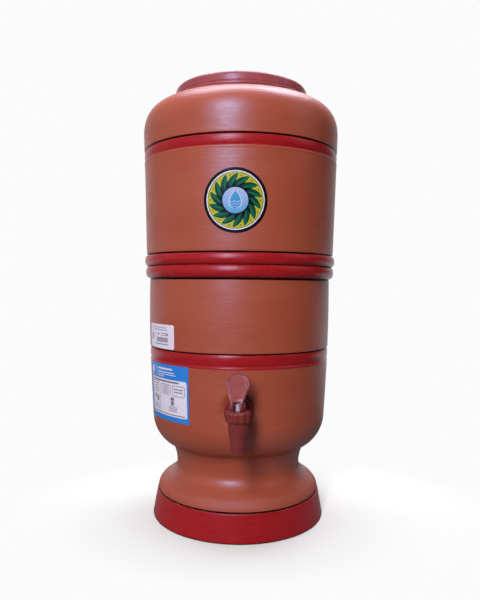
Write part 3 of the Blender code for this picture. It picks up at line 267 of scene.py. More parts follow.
def carried(before, start, reach, handle, end):
    """A cubic curve that goes on in a line's direction for `reach`, and turns by a handle into its end."""
    t = np.linspace(0, 1, 20)[1:, None]
    first = start + reach * direction(before, start)
    return (1 - t) ** 3 * start + 3 * t * (1 - t) ** 2 * first + 3 * t**2 * (1 - t) * handle + t**3 * end


def leaned(u, v, angle):
    """Two coordinates turned by an angle a: u cos a - v sin a, and u sin a + v cos a."""
    return u * math.cos(angle) - v * math.sin(angle), u * math.sin(angle) + v * math.cos(angle)


def divided(line, step):
    """The same line with more points, so that none is further than `step` from the next."""
    lengths = np.linalg.norm(np.diff(line, axis=0), axis=1)
    counts = np.ceil(lengths / step).astype(int)
    runs = [np.linspace(a, b, n, endpoint=False) for a, b, n in zip(line, line[1:], counts)]
    return np.concatenate(runs + [line[-1:]])


def smoothly(value, start, end):
    """0 before start, 1 after end, and an S-shaped rise between them."""
    t = np.clip((value - start) / (end - start), 0, 1)
    return t * t * (3 - 2 * t)


def turned(line, columns, shape=None, centre=(0.0, AXIS_Y)):
    """A line turned about an upright axis: x = r sin a, y = axis - r cos a, z = height.

    `shape` may change the radius and height, as a function of the angle, the radius and the height.
    """
    angle = np.linspace(0, 2 * np.pi, columns, endpoint=False)[None, :]
    radius = np.repeat(line[:, :1], columns, axis=1)
    height = np.repeat(line[:, 1:2], columns, axis=1)
    if shape:
        radius, height = shape(angle, radius, height)
    return np.stack([centre[0] + radius * np.sin(angle), centre[1] - radius * np.cos(angle), height], axis=2)


def turned_at_tap(line, columns, shape=None):
    """A line turned about the tap's upright axis."""
    return turned(line, columns, shape, (0.0, TAP_Y))


def turned_on_shank(line, columns, shape=None):
    """A line turned about the tap's shank. Its second number is a distance from the vessels' axis."""
    points = turned(line, columns, shape, (0.0, 0.0))
    return np.stack([points[..., 0], AXIS_Y - points[..., 2], TAP_Z + points[..., 1]], axis=2)


def put(name, data):
    """Puts an object in the scene."""
    made = bpy.data.objects.new(name, data)
    bpy.context.scene.collection.objects.link(made)
    return made


def smoothed(mesh):
    """Shades a mesh smooth but for its sharp edges."""
    mesh.shade_smooth()
    mesh.set_sharp_from_angle(angle=SHARP)
    return mesh


def surface(name, points, closed_rows=False, flat=None, inside_from=None):
    """A piece whose mesh lies on a grid of points, closed round each row.

    A row whose points all meet becomes a pole. `flat` gives each point a place on a flat sheet, kept as its
    UV map in metres. Rows from `inside_from` on take the second material. The sign of the volume that the
    faces enclose shows which way to turn them.
    """
    rows, columns = points.shape[:2]
    index = np.arange(rows * columns).reshape(rows, columns)
    poles = np.ptp(points, axis=1).max(axis=1) < 1e-6
    index[poles] = index[poles][:, :1]
    below = np.roll(index, -1, axis=0) if closed_rows else index[1:]
    above = index if closed_rows else index[:-1]
    corners = [above, np.roll(above, -1, axis=1), np.roll(below, -1, axis=1), below]
    used, faces = np.unique(np.stack(corners, axis=2), return_inverse=True)
    faces = faces.reshape(-1, 4)
    spots = points.reshape(-1, 3)[used] * MM
    a, b, c, d = (spots[faces[:, n]] for n in range(4))
    if (a * np.cross(b, c)).sum() + (a * np.cross(c, d)).sum() < 0:
        faces = faces[:, ::-1]
    real = faces != np.roll(faces, 1, axis=1)
    counts = real.sum(axis=1)
    mesh = bpy.data.meshes.new(name)
    mesh.vertices.add(len(spots))
    mesh.vertices.foreach_set("co", spots.ravel())
    mesh.loops.add(int(counts.sum()))
    mesh.loops.foreach_set("vertex_index", faces[real].astype(np.int32))
    mesh.polygons.add(len(faces))
    mesh.polygons.foreach_set("loop_start", (np.cumsum(counts) - counts).astype(np.int32))
    if inside_from is not None:
        mesh.materials.append(None)
        mesh.materials.append(None)
        slots = np.repeat(np.arange(len(above)) >= inside_from, columns)
        mesh.polygons.foreach_set("material_index", slots.astype(np.int32))
    mesh.update(calc_edges=True)
    if flat is not None:
        sheet = mesh.uv_layers.new(name="sheet")
        sheet.data.foreach_set("uv", (flat.reshape(-1, 2)[used] * MM)[faces[real]].ravel())
    return put(name, smoothed(mesh))


def changed(piece, kind, **settings):
    """Works a modifier into a piece's own mesh."""
    modifier = piece.modifiers.new(kind, kind)
    for key, value in settings.items():
        setattr(modifier, key, value)
    bpy.context.view_layer.update()
    graph = bpy.context.evaluated_depsgraph_get()
    mesh = bpy.data.meshes.new_from_object(piece.evaluated_get(graph))
    piece.modifiers.clear()
    piece.data = smoothed(mesh)
    return piece


def combine(piece, operation, *tools):
    """Joins other shapes to a piece, or cuts them out of it, and drops them."""
    for tool in tools:
        changed(piece, "BOOLEAN", operation=operation, solver="EXACT", object=tool)
        bpy.data.objects.remove(tool)
    return piece


def soften(piece, width):
    """Rounds every sharp edge of a piece."""
    return changed(piece, "BEVEL", width=width * MM, segments=2, limit_method="ANGLE", angle_limit=SHARP)


def rod(name, radius, low, high, columns=48, around=turned):
    """A plain rod, for cutting a hole."""
    line = np.array([(0, low), (radius, low), (radius, high), (0, high)], float)
    return surface(name, around(line, columns))


def prism(name, outline, half_width, place):
    """A side view's (along, up) outline made thick. `place` turns (along, across, up) into x, y, z."""
    centre = np.repeat(outline.mean(axis=0)[None], len(outline), axis=0)
    sheets = [(centre, -half_width), (outline, -half_width), (outline, half_width), (centre, half_width)]
    return surface(name, place(np.array([np.insert(sheet, 1, across, axis=1) for sheet, across in sheets])))


def pin_hole(place, half_width=20, corners=48):
    """A rod through a pin's place, for cutting the pin's hole."""
    outline = arc((0, 0), PIN_HOLE, PIN_HOLE, 0, 360 - 360 / corners, corners - 1)
    return prism("pin_hole", outline, half_width, place)


# Clay vessels

def clay_wobble(angle, height):
    """How far the hand-finished clay stands off a true round: slow waves that drift with height."""
    return (
        0.20 * np.sin(2 * angle + height / 61)
        + 0.11 * np.sin(3 * angle - height / 37 + 1.0)
        + 0.06 * np.sin(5 * angle + height / 23)
    )


def hand_made(angle, radius, height):
    return radius + clay_wobble(angle, height) * smoothly(radius, 30, 70), height


def lower_wall(height):
    """Outside radius of the lower wall: a straight taper with a slight belly."""
    share = (height - LOWER_WALL_Z) / (LOWER_WALL_TOP_Z - LOWER_WALL_Z)
    low, high = LOWER_WALL_RADII
    return low + share * (high - low) + 4 * share * (1 - share)


def upper_wall(height):
    """Outside radius of the upper wall: a straight taper."""
    share = (height - UPPER_WALL_Z) / (SHOULDER_Z - UPPER_WALL_Z)
    low, high = UPPER_WALL_RADII
    return low + share * (high - low)


def dark_groove(wall, height):
    """Corners of a line cut round the wall."""
    deep = wall(height) - GROOVE_DEPTH
    return [
        (wall(height) - 1.0, height, 0.25), (deep, height + 0.5, 0.3), (deep, height + 1.0, 0.3),
        (wall(height + GROOVE), height + GROOVE - 0.2, 0.5),
    ]


def painted_band(wall, top, height):
    """Corners of a recessed band: a rounded lip at its foot and a crown. The callers add the dark groove over
    it.

    The crown stands 3 s (1 - s) out of the recess, where s runs from 0 at its foot to 1 at its top.
    """
    foot = top - height
    share = np.linspace(0.0, 1.0, 12)
    level = foot + 1.3 + share * (height - 1.3)
    crown = [(wall(z) - 0.8 + 3.0 * s * (1 - s), z, 0) for z, s in zip(level[:-1], share)]
    return [(wall(foot - 2.6), foot - 2.6, 1), (wall(foot - 0.5) + 0.35, foot - 0.5, 0.7)] + crown


def bead(foot, height, foot_radius, top_radius, crest_radius):
    """A round moulding between two radii.

    Its radius is base + (crest - base) cos t, at foot + height (1 + sin t) / 2.
    """
    t = np.radians(np.linspace(-90, 90, 19))
    share = (1 + np.sin(t)) / 2
    base = foot_radius + share * (top_radius - foot_radius)
    return np.column_stack([base + (crest_radius - base) * np.cos(t), foot + share * height])


def lower_outline():
    """Two lines: from the hollow foot out and up to the rim, and from the rim down to the chamber's floor."""
    hollow = WAIST_RADIUS - WALL
    ceiling = CHAMBER_FLOOR_Z - WALL
    band_top = [(0.2, -0.2, 0.8), (-GROOVE_DEPTH, 0.7, 0.4), (-GROOVE_DEPTH, 1.3, 0.4)]
    foot = eased([
        (0, ceiling, 0), (hollow * 0.8, ceiling, 3), (hollow, ceiling - 8, 4), (hollow, WAIST_Z, 6),
        (74.0, CROWN_Z, 6), (FOOT_INNER_RADIUS - 1.5, 23.1, 5), (FOOT_INNER_RADIUS, 0, 0.8),
        (FOOT_RADIUS, 0, 2.2), *near(FOOT_BAND_TOP_RADIUS, FOOT_BAND_TOP, band_top),
        (CROWN_CENTRE + CROWN_SIZE[0], CROWN_Z, 0),
    ])
    crown = arc((CROWN_CENTRE, CROWN_Z), *CROWN_SIZE, 3, CROWN_END, 24)
    low, high = LOWER_WALL_RADII
    bowl_centre = low - BOWL_TURN[0]
    start = -math.degrees(math.acos((BOWL_FOOT_RADIUS - bowl_centre) / BOWL_TURN[0]))
    bowl = arc((bowl_centre, LOWER_WALL_Z), *BOWL_TURN, start, 0, 30)
    waist = np.array([WAIST_RADIUS, WAIST_Z])
    flare = carried(crown[-2], crown[-1], 8.0, waist - (0, 10.0), waist)
    neck = carried(waist - (0, 1), waist, 9.0, bowl[0] - 3.0 * direction(bowl[0], bowl[1]), bowl[0])
    wall = eased(
        [(lower_wall(LOWER_WALL_Z + 2), LOWER_WALL_Z + 2, 0), (lower_wall(160), 160, 20)]
        + painted_band(lower_wall, LOWER_BAND_TOP, LOWER_BAND_HEIGHT)
        + dark_groove(lower_wall, LOWER_BAND_TOP)
        + [(lower_wall(240), 240, 30)]
        + dark_groove(lower_wall, LOWER_WALL_TOP_Z)
    )
    foot_z = LOWER_WALL_TOP_Z + GROOVE
    top = bead(foot_z, RIM_Z - foot_z, high, high + 1, LOWER_BEAD_RADIUS)
    mouth = eased([
        (high + 0.9, RIM_Z, 0), (high - WALL, RIM_Z, 1.6), (lower_wall(203) - WALL, 203, 20),
        (low - WALL, LOWER_WALL_Z, 0),
    ])
    turn = BOWL_TURN[0] * 0.8
    floor = arc((low - WALL - turn, LOWER_WALL_Z), turn, LOWER_WALL_Z - CHAMBER_FLOOR_Z, -3, -90, 20)
    outside = np.concatenate([foot, crown, flare, neck, bowl[1:], wall[:-1], top])
    return outside, np.concatenate([mouth, floor, [(0, CHAMBER_FLOOR_Z)]])


def flat_seats(points):
    """Presses the wall flat, outside and inside, where the tap's two washers bear on it."""
    away = np.hypot(points[..., 0], points[..., 2] - TAP_Z)
    out = AXIS_Y - points[..., 1]
    share = (1 - smoothly(away, SEAT_RADIUS, SEAT_RADIUS + 2.5)) * (out > 60)
    seat = np.where(out > (OUTER_SEAT + INNER_SEAT) / 2, OUTER_SEAT, INNER_SEAT)
    points[..., 1] = AXIS_Y - (out + share * (seat - out))
    return points


def thrown(outside, inside):
    """The clay's points, turned from the two lines of a vessel, and the row where its inside starts."""
    return turned(np.concatenate([outside, divided(inside, 4.0)]), 240, hand_made), len(outside)


def lower_vessel():
    outside, inside = lower_outline()
    points, start = thrown(divided(outside, 3.5), inside)
    piece = surface("lower_vessel_clay", flat_seats(points), inside_from=start)
    hole = rod("tap_hole", SHANK_RADIUS + 0.8, INNER_SEAT - 20, OUTER_SEAT + 20, around=turned_on_shank)
    return combine(piece, "DIFFERENCE", hole)


def upper_outline():
    """Two lines: from the candle's hole out under the floor and up to the collar, and back down inside."""
    low, high = UPPER_WALL_RADII
    foot = eased([
        (CANDLE_HOLE, SPIGOT_FOOT_Z + 5, 0), (CANDLE_HOLE, SPIGOT_FOOT_Z, 0.8),
        (SPIGOT_RADIUS, SPIGOT_FOOT_Z, 1.6), (SPIGOT_RADIUS, UPPER_Z, 0.8), (low - 2, UPPER_Z, 0),
    ])
    moulding = bead(UPPER_Z, UPPER_BEAD_HEIGHT, low - 2, low, UPPER_BEAD_RADIUS)
    deep = low - GROOVE_DEPTH
    wall = eased(
        [(low - 0.3, UPPER_WALL_Z - GROOVE + 0.1, 0), (deep, UPPER_WALL_Z - GROOVE + 0.8, 0.4),
         (deep, UPPER_WALL_Z - 0.8, 0.4), (low, UPPER_WALL_Z, 0.6)]
        + painted_band(upper_wall, UPPER_BAND_TOP, UPPER_BAND_HEIGHT)
        + dark_groove(upper_wall, UPPER_BAND_TOP)
        + [(high, SHOULDER_Z, 0)]
    )
    centre = high - SHOULDER_TURN[0]
    end = math.degrees(math.acos(((COLLAR_RADIUS - centre) / SHOULDER_TURN[0]) ** (SHOULDER_POWER / 2)))
    shoulder = arc((centre, SHOULDER_Z), *SHOULDER_TURN, 0, end, 50, SHOULDER_POWER)[1:]
    neck = COLLAR_RADIUS - COLLAR_WALL
    collar = eased([
        (COLLAR_RADIUS, shoulder[-1][1] + 0.5, 0), (COLLAR_RADIUS, COLLAR_TOP_Z, 1.6),
        (neck + 3, COLLAR_TOP_Z, 0),
    ])
    lip = eased([(neck + 2.9, COLLAR_TOP_Z, 0), (neck, COLLAR_TOP_Z, 1.6), (neck, SHOULDER_Z + 34, 0)])
    inner = arc((neck, SHOULDER_Z), high - WALL - neck, 32.0, 88, 0, 36, SHOULDER_POWER)
    floor = eased([
        (high - WALL, SHOULDER_Z - 1, 0), (low - WALL, UPPER_Z, 8), (CANDLE_HOLE, UPPER_Z, 0.8),
        (CANDLE_HOLE, SPIGOT_FOOT_Z + 6, 0),
    ])
    return np.concatenate([foot, moulding, wall, shoulder, collar]), np.concatenate([lip, inner, floor])


def upper_vessel():
    outside, inside = upper_outline()
    points, start = thrown(divided(outside, 3.0), inside)
    return surface("upper_vessel_clay", points, closed_rows=True, inside_from=start)


def lid():
    """A moulded cap: a dished top in a low ring, a rounded edge, and a rolled bead at its foot."""
    under = LID_TOP_Z - LID_WALL
    line = eased([
        (0, LID_TOP_Z - 1.3, 0), *near(LID_DISH_RADIUS, LID_TOP_Z, [(-1.5, -1.3, 1.0), (1.5, 0, 1.2)]),
        *near(LID_RADIUS, LID_TOP_Z, [(-2.6, 0, 1.6), (-0.6, -3.0, 1.6)]),
        *near(LID_RADIUS, LID_FOOT_Z, [
            (-0.4, 4.6, 0.8), (-1.0, 3.7, 0.4), (0, 3.0, 0.8), (0, 0.6, 0.8), (-0.7, 0, 0.3),
            (-LID_WALL, 0, 0.3),
        ]),
        (LID_RADIUS - LID_WALL, under, 1.0),
        *near(LID_DISH_RADIUS, under, [(1.5, 0, 1.0), (-1.5, -1.3, 1.0)]), (0, under - 1.3, 0),
    ])
    return surface("lid_cap", turned(divided(line, 2.5), 288))


# Labels

def rounded_outline(width, height, corner):
    """Outline of an oblong with round corners, with points all along its edges."""
    angle = np.radians(np.arange(48) * 7.5 + 3.75)
    across = np.sign(np.cos(angle)) * (width / 2 - corner) + corner * np.cos(angle)
    up = np.sign(np.sin(angle)) * (height / 2 - corner) + corner * np.sin(angle)
    line = np.column_stack([across, up])
    return divided(np.concatenate([line, line[:1]]), 2.5)[:-1]


def label(name, outline, spot, wall):
    """A thin sheet stuck round a wall, which follows the clay's own waves.

    Rings of the outline, drawn in to its middle, run from the back's middle over the rim to the front's
    middle. An arc length s becomes the angle bearing + s / radius.
    """
    middle_z, bearing, radius = spot
    shares = np.sqrt(np.linspace(0, 1, 15))
    share = np.concatenate([shares, shares[::-1]])[:, None]
    stand_off = np.repeat([0.06, 0.32], 15)[:, None]
    s = share * outline[:, 0]
    z = middle_z + share * outline[:, 1]
    angle = math.radians(bearing) + s / radius
    out = wall(z) + clay_wobble(angle, z) + stand_off
    points = np.stack([out * np.sin(angle), AXIS_Y - out * np.cos(angle), z], axis=2)
    return surface(name, points, flat=np.stack([s, z - middle_z], axis=2))


# Tap

def fluted(angle, radius, height):
    """The head's grip: wide lobes with narrow flutes between, deep in the side and gone near the axis.

    Over an angle a, n flutes dip as |cos(n a / 2)| to the fifth power.
    """
    dip = FLUTE_DEPTH * np.abs(np.cos(FLUTES * (angle - FLUTE_START) / 2)) ** 5
    on_side = smoothly(radius, HEAD_RADIUS - 3.4, HEAD_RADIUS - 1.6)
    on_head = smoothly(height, HEAD_FOOT_Z - 0.3, HEAD_FOOT_Z + 0.2)
    return radius - dip * on_side * on_head, height


def threaded(angle, radius, height):
    """The shank's screw thread: the radius swings once for each pitch and each turn round."""
    wave = 0.5 + 0.5 * np.cos(2 * np.pi * height / THREAD_PITCH - angle)
    inside = smoothly(height, SHANK_END, SHANK_END + 1) * (1 - smoothly(height, FLANGE_BACK - 1, FLANGE_BACK))
    return radius - THREAD_DEPTH * wave * inside * (radius > 6.0), height


def tap_body():
    """Head, barrel, neck, flange and threaded shank in one moulding, hollow for the valve."""
    outline = eased([
        (0, BARREL_FOOT_Z, 0), (BARREL_RADIUS, BARREL_FOOT_Z, 0.4), (BARREL_RADIUS, HEAD_FOOT_Z, 0.2),
        (HEAD_RADIUS, HEAD_FOOT_Z, 0.7), *near(HEAD_RADIUS, HEAD_TOP_Z, [
            (0, -2.2, 0.9), (-1.0, -0.7, 0.9), (-3.4, 0, 0.8), (-5.0, 0, 0.3), (-5.6, -0.25, 0.3),
        ]),
        (0, HEAD_TOP_Z - 0.25, 0),
    ])
    body = surface("tap_moulding", turned_at_tap(divided(outline, 0.8), 288, fluted))
    neck_end = AXIS_Y - TAP_Y
    front = FLANGE_BACK + FLANGE
    shank = eased([
        (0, SHANK_END, 0), *near(SHANK_RADIUS, SHANK_END, [(-0.6, 0, 0.3), (0, 0.8, 0.3)]),
        (SHANK_RADIUS, FLANGE_BACK, 0.2), (FLANGE_RADIUS, FLANGE_BACK, 0.4),
        *near(FLANGE_RADIUS, front, [(0, 0, 0.9), (-2.6, 0, 0.3), (-3.2, -0.4, 0.3)]),
        (NECK_RADIUS, front - 0.4, 1.2), (NECK_RADIUS, neck_end, 0), (0, neck_end, 0),
    ])
    combine(body, "UNION", surface("shank", turned_on_shank(divided(shank, 0.5), 144, threaded)))
    gland = STEM_RADIUS + 1.7
    bore = STEM_RADIUS + 0.35
    hollow = np.array([
        (0, BARREL_FOOT_Z - 3), (CHAMBER_RADIUS, BARREL_FOOT_Z - 3), (CHAMBER_RADIUS, HEAD_TOP_Z - 3),
        (gland, HEAD_TOP_Z - 3), (gland, HEAD_TOP_Z - 1.5), (bore, HEAD_TOP_Z - 1.5), (bore, HEAD_TOP_Z + 3),
        (0, HEAD_TOP_Z + 3),
    ], float)
    chamber = surface("chamber", turned_at_tap(hollow, 72))
    inlet = rod("inlet", SHANK_BORE, SHANK_END - 5, neck_end - CHAMBER_RADIUS / 2, 36, turned_on_shank)
    return combine(body, "DIFFERENCE", chamber, inlet)


def spout_seams(angle, radius, height):
    """Two fine mould lines down the spout's sides."""
    seam = np.abs((angle - math.radians(64) + np.pi / 2) % np.pi - np.pi / 2) * radius
    return radius + 0.26 * (1 - smoothly(seam, 0.15, 0.55)) * (radius > SPOUT_BORE + 1), height


def tap_spout():
    """A tapering tube, whose sleeve goes up round the barrel to the foot of the head."""
    tip = SPOUT_TIP_Z
    top = SPOUT_TOP_Z + 1.6
    inside = CHAMBER_RADIUS - 0.3
    sleeve = BARREL_RADIUS + 0.15
    sleeve_top = HEAD_FOOT_Z - 0.2
    line = eased([
        (SPOUT_BORE, tip + 3, 0), (SPOUT_BORE + 0.3, tip, 0.3), (SPOUT_RADII[0], tip, 0.5),
        (SPOUT_RADII[1], SPOUT_TOP_Z - 2.6, 2.0), (SLEEVE_RADIUS, HEAD_FOOT_Z - 1, 0.6),
        (SLEEVE_RADIUS, sleeve_top, 0.2), (sleeve, sleeve_top, 0.1),
        (sleeve, SPOUT_TOP_Z, 0.1), (inside, SPOUT_TOP_Z, 0.1), (inside, top, 0.4), (7.0, top, 0.4),
        (7.0, SPOUT_TOP_Z - 5.6, 0.2), (SPOUT_BORE, SPOUT_TOP_Z - 9.1, 0.6), (SPOUT_BORE, tip + 4, 0),
    ])
    return surface("spout", turned_at_tap(divided(line, 0.9), 240, spout_seams), closed_rows=True)


def at_lever(points):
    """(across, forward, up) from the lever's pin, turned with the lever into x, y, z."""
    x, ahead = leaned(points[..., 0], points[..., 1], LEVER_YAW)
    return np.stack([x, TAP_Y - ahead, PIN_Z + points[..., 2]], axis=-1)


def cam(turn):
    """The ear's rolling edge as (forward, up) from the pin.

    It is the envelope of a line whose distance from the pin grows evenly as it turns.
    """
    rate = CAM_LIFT / LEVER_SWING
    reach = CAM_RADIUS + rate * turn
    forward = reach * np.sin(turn) + rate * np.cos(turn)
    return np.stack([forward, rate * np.sin(turn) - reach * np.cos(turn)], axis=-1)


def ear_outline():
    """Side of an ear: the cam, the foot of the paddle, and the round behind the pin."""
    edge = cam(np.linspace(0, LEVER_SWING, 24))
    thick = PADDLE_THICKNESS * 0.9
    front = edge[-1] + (FORK_DEPTH + 3) * np.array([-math.sin(PADDLE_LEAN), math.cos(PADDLE_LEAN)])
    back = front - (thick, thick * math.tan(PADDLE_LEAN))
    return np.concatenate([edge, [front, back], arc((0, 0), CAM_RADIUS, CAM_RADIUS, 66, 270, 30)])


def teardrop(inset):
    """The paddle's (across, along) outline, inset all round: a round top and tangents down to the fork."""
    centre = PADDLE_LENGTH - PADDLE_HALF_WIDTH
    radius = PADDLE_HALF_WIDTH - inset
    half = FORK_HALF_WIDTH - inset
    far = math.hypot(half, centre - inset)
    tangent = math.acos(radius / far) + math.atan2(half, centre - inset) - math.pi / 2
    angle = np.linspace(tangent, math.pi - tangent, 61)
    top = np.column_stack([radius * np.cos(angle), centre + radius * np.sin(angle)])
    right = np.linspace((half, inset), top[0], 16, endpoint=False)
    left = np.linspace(top[-1], (-half, inset), 17)[1:]
    foot = np.linspace((-half, inset), (half, inset), 9)[1:-1]
    return np.concatenate([right, top, left, foot])


def paddle():
    """A thumb plate: a raised rim, a groove in it that fades towards the fork, and a slightly swollen face.

    Rows run from the middle of the face out to the rim, over its rounded edge, and in again over the back.
    """
    middle_spot = np.array([0, PADDLE_LENGTH - PADDLE_HALF_WIDTH - 2])
    insets = np.array([
        4.0, 3.5, 3.1, 2.8, 2.5, 2.2, 1.9, 1.6, 1.4, 1.2, 1.0, 0.75, 0.5, 0.35, 0.2, 0.08, 0.0,
    ])
    rings = np.array([teardrop(inset) for inset in insets])
    shares = np.array([0, 0.25, 0.5, 0.7, 0.88])[:, None, None]
    inner = middle_spot + shares * (rings[0] - middle_spot)
    front = np.concatenate([inner, rings])
    inset = np.concatenate([np.full(5, 5.0), insets])[:, None]
    fade = 0.25 + 0.75 * smoothly(front[..., 1], 4, 22)
    swell = 0.75 * smoothly(inset, 2.0, 3.4)
    groove = 1.1 * smoothly(inset, 0.9, 1.7) * fade
    edge = 0.6 - np.sqrt(np.clip(0.36 - np.clip(0.6 - inset, 0, None) ** 2, 0, None))
    front_depth = groove - swell * fade + edge
    back = front[::-1]
    back_depth = PADDLE_THICKNESS - edge[::-1] * 0.8 + 0 * front_depth
    sheet = np.concatenate([front, back])
    depth = np.concatenate([front_depth, back_depth])
    start = cam(LEVER_SWING)
    rise, back = leaned(sheet[..., 1], depth, PADDLE_LEAN)
    points = np.stack([sheet[..., 0], start[0] - back, start[1] + rise], axis=2)
    return surface("lever_paddle", at_lever(points))


def sideways(points):
    """(forward, across, up) from the lever's pin into x, y, z."""
    return at_lever(points[..., [1, 0, 2]])


def lever():
    """The paddle with its two ears, the fork's slot between them, and the pin's hole."""
    piece = paddle()
    combine(piece, "UNION", prism("ears", ear_outline(), EARS_HALF_WIDTH, sideways))
    gap = EARS_HALF_WIDTH - EAR_THICKNESS
    top = cam(LEVER_SWING)[1] + FORK_DEPTH
    slot = np.concatenate([arc((0, top - gap), gap, gap, 0, 180, 32, 9), [(-gap, -30), (gap, -30)]])
    combine(piece, "DIFFERENCE", prism("fork", slot, 30, at_lever), pin_hole(sideways))
    return soften(piece, 0.35)


def squared(levels, half_width, half_depth, power):
    """Sections along a rod, as (across, forward, level).

    Each is a superellipse, where |across / a| to the power n and |forward / b| to the power n add up to 1,
    with its own half axes a and b and its own n.
    """
    angle = np.linspace(0, 2 * np.pi, 72, endpoint=False)[None]
    across = fuller(np.cos(angle), power[:, None]) * half_width[:, None]
    forward = fuller(np.sin(angle), power[:, None]) * half_depth[:, None]
    return np.stack([across, forward, np.repeat(levels[:, None], 72, axis=1)], axis=2)


def stem():
    """A rod that turns flat over the head: superellipses, whose width, depth and power change with height."""
    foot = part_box("tap_stem")[0].z / MM
    blade_top = PIN_Z + 2.6
    low = np.array([foot, foot, HEAD_TOP_Z - 1.6, HEAD_TOP_Z - 0.2, HEAD_TOP_Z + 0.6])
    tip = blade_top - 1 + np.array([0.0, 0.5, 0.85, 1.0, 1.0])
    z = np.concatenate([low, np.linspace(HEAD_TOP_Z + 1.5, blade_top - 2, 9), tip])
    t = smoothly(z, HEAD_TOP_Z - 0.4, HEAD_TOP_Z + 0.8)
    rise = np.clip((z - HEAD_TOP_Z - 0.6) / (blade_top - HEAD_TOP_Z - 0.6), 0, 1)
    draw_in = np.ones(len(z))
    draw_in[0] = 0
    draw_in[-4:] = (0.96, 0.84, 0.6, 0)
    half_width = (STEM_RADIUS - t * 0.6 * rise) * draw_in
    half_depth = (STEM_RADIUS + t * 0.2) * draw_in
    piece = surface("stem", at_lever(squared(z - PIN_Z, half_width, half_depth, 2 + 5 * t)))
    return combine(piece, "DIFFERENCE", pin_hole(sideways))


def spring():
    """A coil of round wire whose centreline climbs evenly through its turns, with closed ends."""
    angle = np.linspace(0, 2 * np.pi * SPRING_TURNS, 36 * SPRING_TURNS + 1)[:, None]
    outward = np.column_stack([np.sin(angle), -np.cos(angle), 0 * angle])
    rise = (SPRING_TOP_Z - SPRING_FOOT_Z) / angle[-1, 0]
    centre = SPRING_RADIUS * outward + np.column_stack([0 * angle, 0 * angle, SPRING_FOOT_Z + rise * angle])
    run = np.column_stack([SPRING_RADIUS * np.cos(angle), SPRING_RADIUS * np.sin(angle), rise + 0 * angle])
    upward = np.cross(run / np.linalg.norm(run, axis=1)[:, None], outward)
    round_wire = np.linspace(0, 2 * np.pi, 12, endpoint=False)[None, :, None]
    around = np.cos(round_wire) * outward[:, None] + np.sin(round_wire) * upward[:, None]
    wire = centre[:, None] + SPRING_WIRE * around
    ends = np.repeat(centre[[0, -1], None], 12, axis=1)
    points = np.concatenate([ends[:1], wire, ends[1:]]) + (0, TAP_Y, 0)
    return surface("valve_coil", points)


# Candle and float valve

def wing_nut():
    """A round hub with two flat wings, whose side view is one squared ellipse."""
    half = (NUT_FOOT_Z + NUT_TOP_Z) / 2
    line = eased([
        (NUT_BORE, half, 0), (NUT_BORE, NUT_FOOT_Z, 0.9), (NUT_RADIUS, NUT_FOOT_Z, 0.9),
        (NUT_RADIUS, NUT_TOP_Z, 0.9), (NUT_BORE, NUT_TOP_Z, 0.9), (NUT_BORE, half + 0.01, 0),
    ])
    hub = surface("wing_nut", turned(divided(line, 3.0), 96), closed_rows=True)
    side = arc((0, NUT_FOOT_Z + 0.2), 21.0, 5.2, 0, 352.5, 47, 3.2)
    wings = prism("wings", side, 1.6, lambda points: points + (0, AXIS_Y, 0))
    combine(wings, "DIFFERENCE", rod("bore", NUT_BORE, 268, 290))
    combine(hub, "UNION", wings)
    return soften(hub, 0.5)


def gripped(angle, radius, height):
    """Eighteen shallow flutes round the valve's body, which dip as |sin 9 a| to the sixth power."""
    on_side = (radius > VALVE_RADIUS - 0.1) * (height < 268)
    return radius - 0.5 * np.abs(np.sin(9 * angle)) ** 6 * on_side, height


def at_pin(points):
    """(along, across, up) from the float's pin, level with the floor, into x, y, z."""
    return points + (FLOAT_PIN_X, AXIS_Y, FLOAT_PIN_Z)


def valve_body():
    """A round fluted body with a nozzle under it, and two lugs that hold the float's pin."""
    line = eased([
        (NUT_BORE, 265, 0), (NUT_BORE, VALVE_TOP_Z, 0.6), (VALVE_RADIUS, VALVE_TOP_Z, 1.0),
        (VALVE_RADIUS, VALVE_FOOT_Z, 1.2), (4.4, VALVE_FOOT_Z, 0.8), (3.4, NOZZLE_FOOT_Z, 0.3),
        (NOZZLE_BORE, NOZZLE_FOOT_Z, 0.3), (NOZZLE_BORE, 259.3, 0.3), (NUT_BORE, 259.3, 0.3),
        (NUT_BORE, 264.9, 0),
    ])
    body = surface("valve_moulding", turned(divided(line, 1.2), 180, gripped), closed_rows=True)
    side = np.concatenate([arc((0, 0), 4.2, 4.2, 180, 360, 24), [(4.2, 15.7), (-8.6, 15.7), (-8.6, 9.4)]])
    lugs = prism("lugs", side, LUGS_HALF_WIDTH, at_pin)
    for right, top in ((1.0, 20.0), (12.0, 5.8)):
        gap = np.array([(-20.0, -10.0), (right, -10.0), (right, top), (-20.0, top)])
        combine(lugs, "DIFFERENCE", prism("gap", gap, LUGS_HALF_GAP, at_pin))
    combine(body, "UNION", lugs)
    combine(body, "DIFFERENCE", pin_hole(at_pin, 9, 24))
    return soften(body, 0.4)


def on_arm(points):
    """(along, across, up) from the float's pin, turned with the resting arm into x, y, z."""
    x, z = leaned(points[..., 0], points[..., 2], ARM_SLOPE)
    return at_pin(np.stack([x, points[..., 1], z], axis=-1))


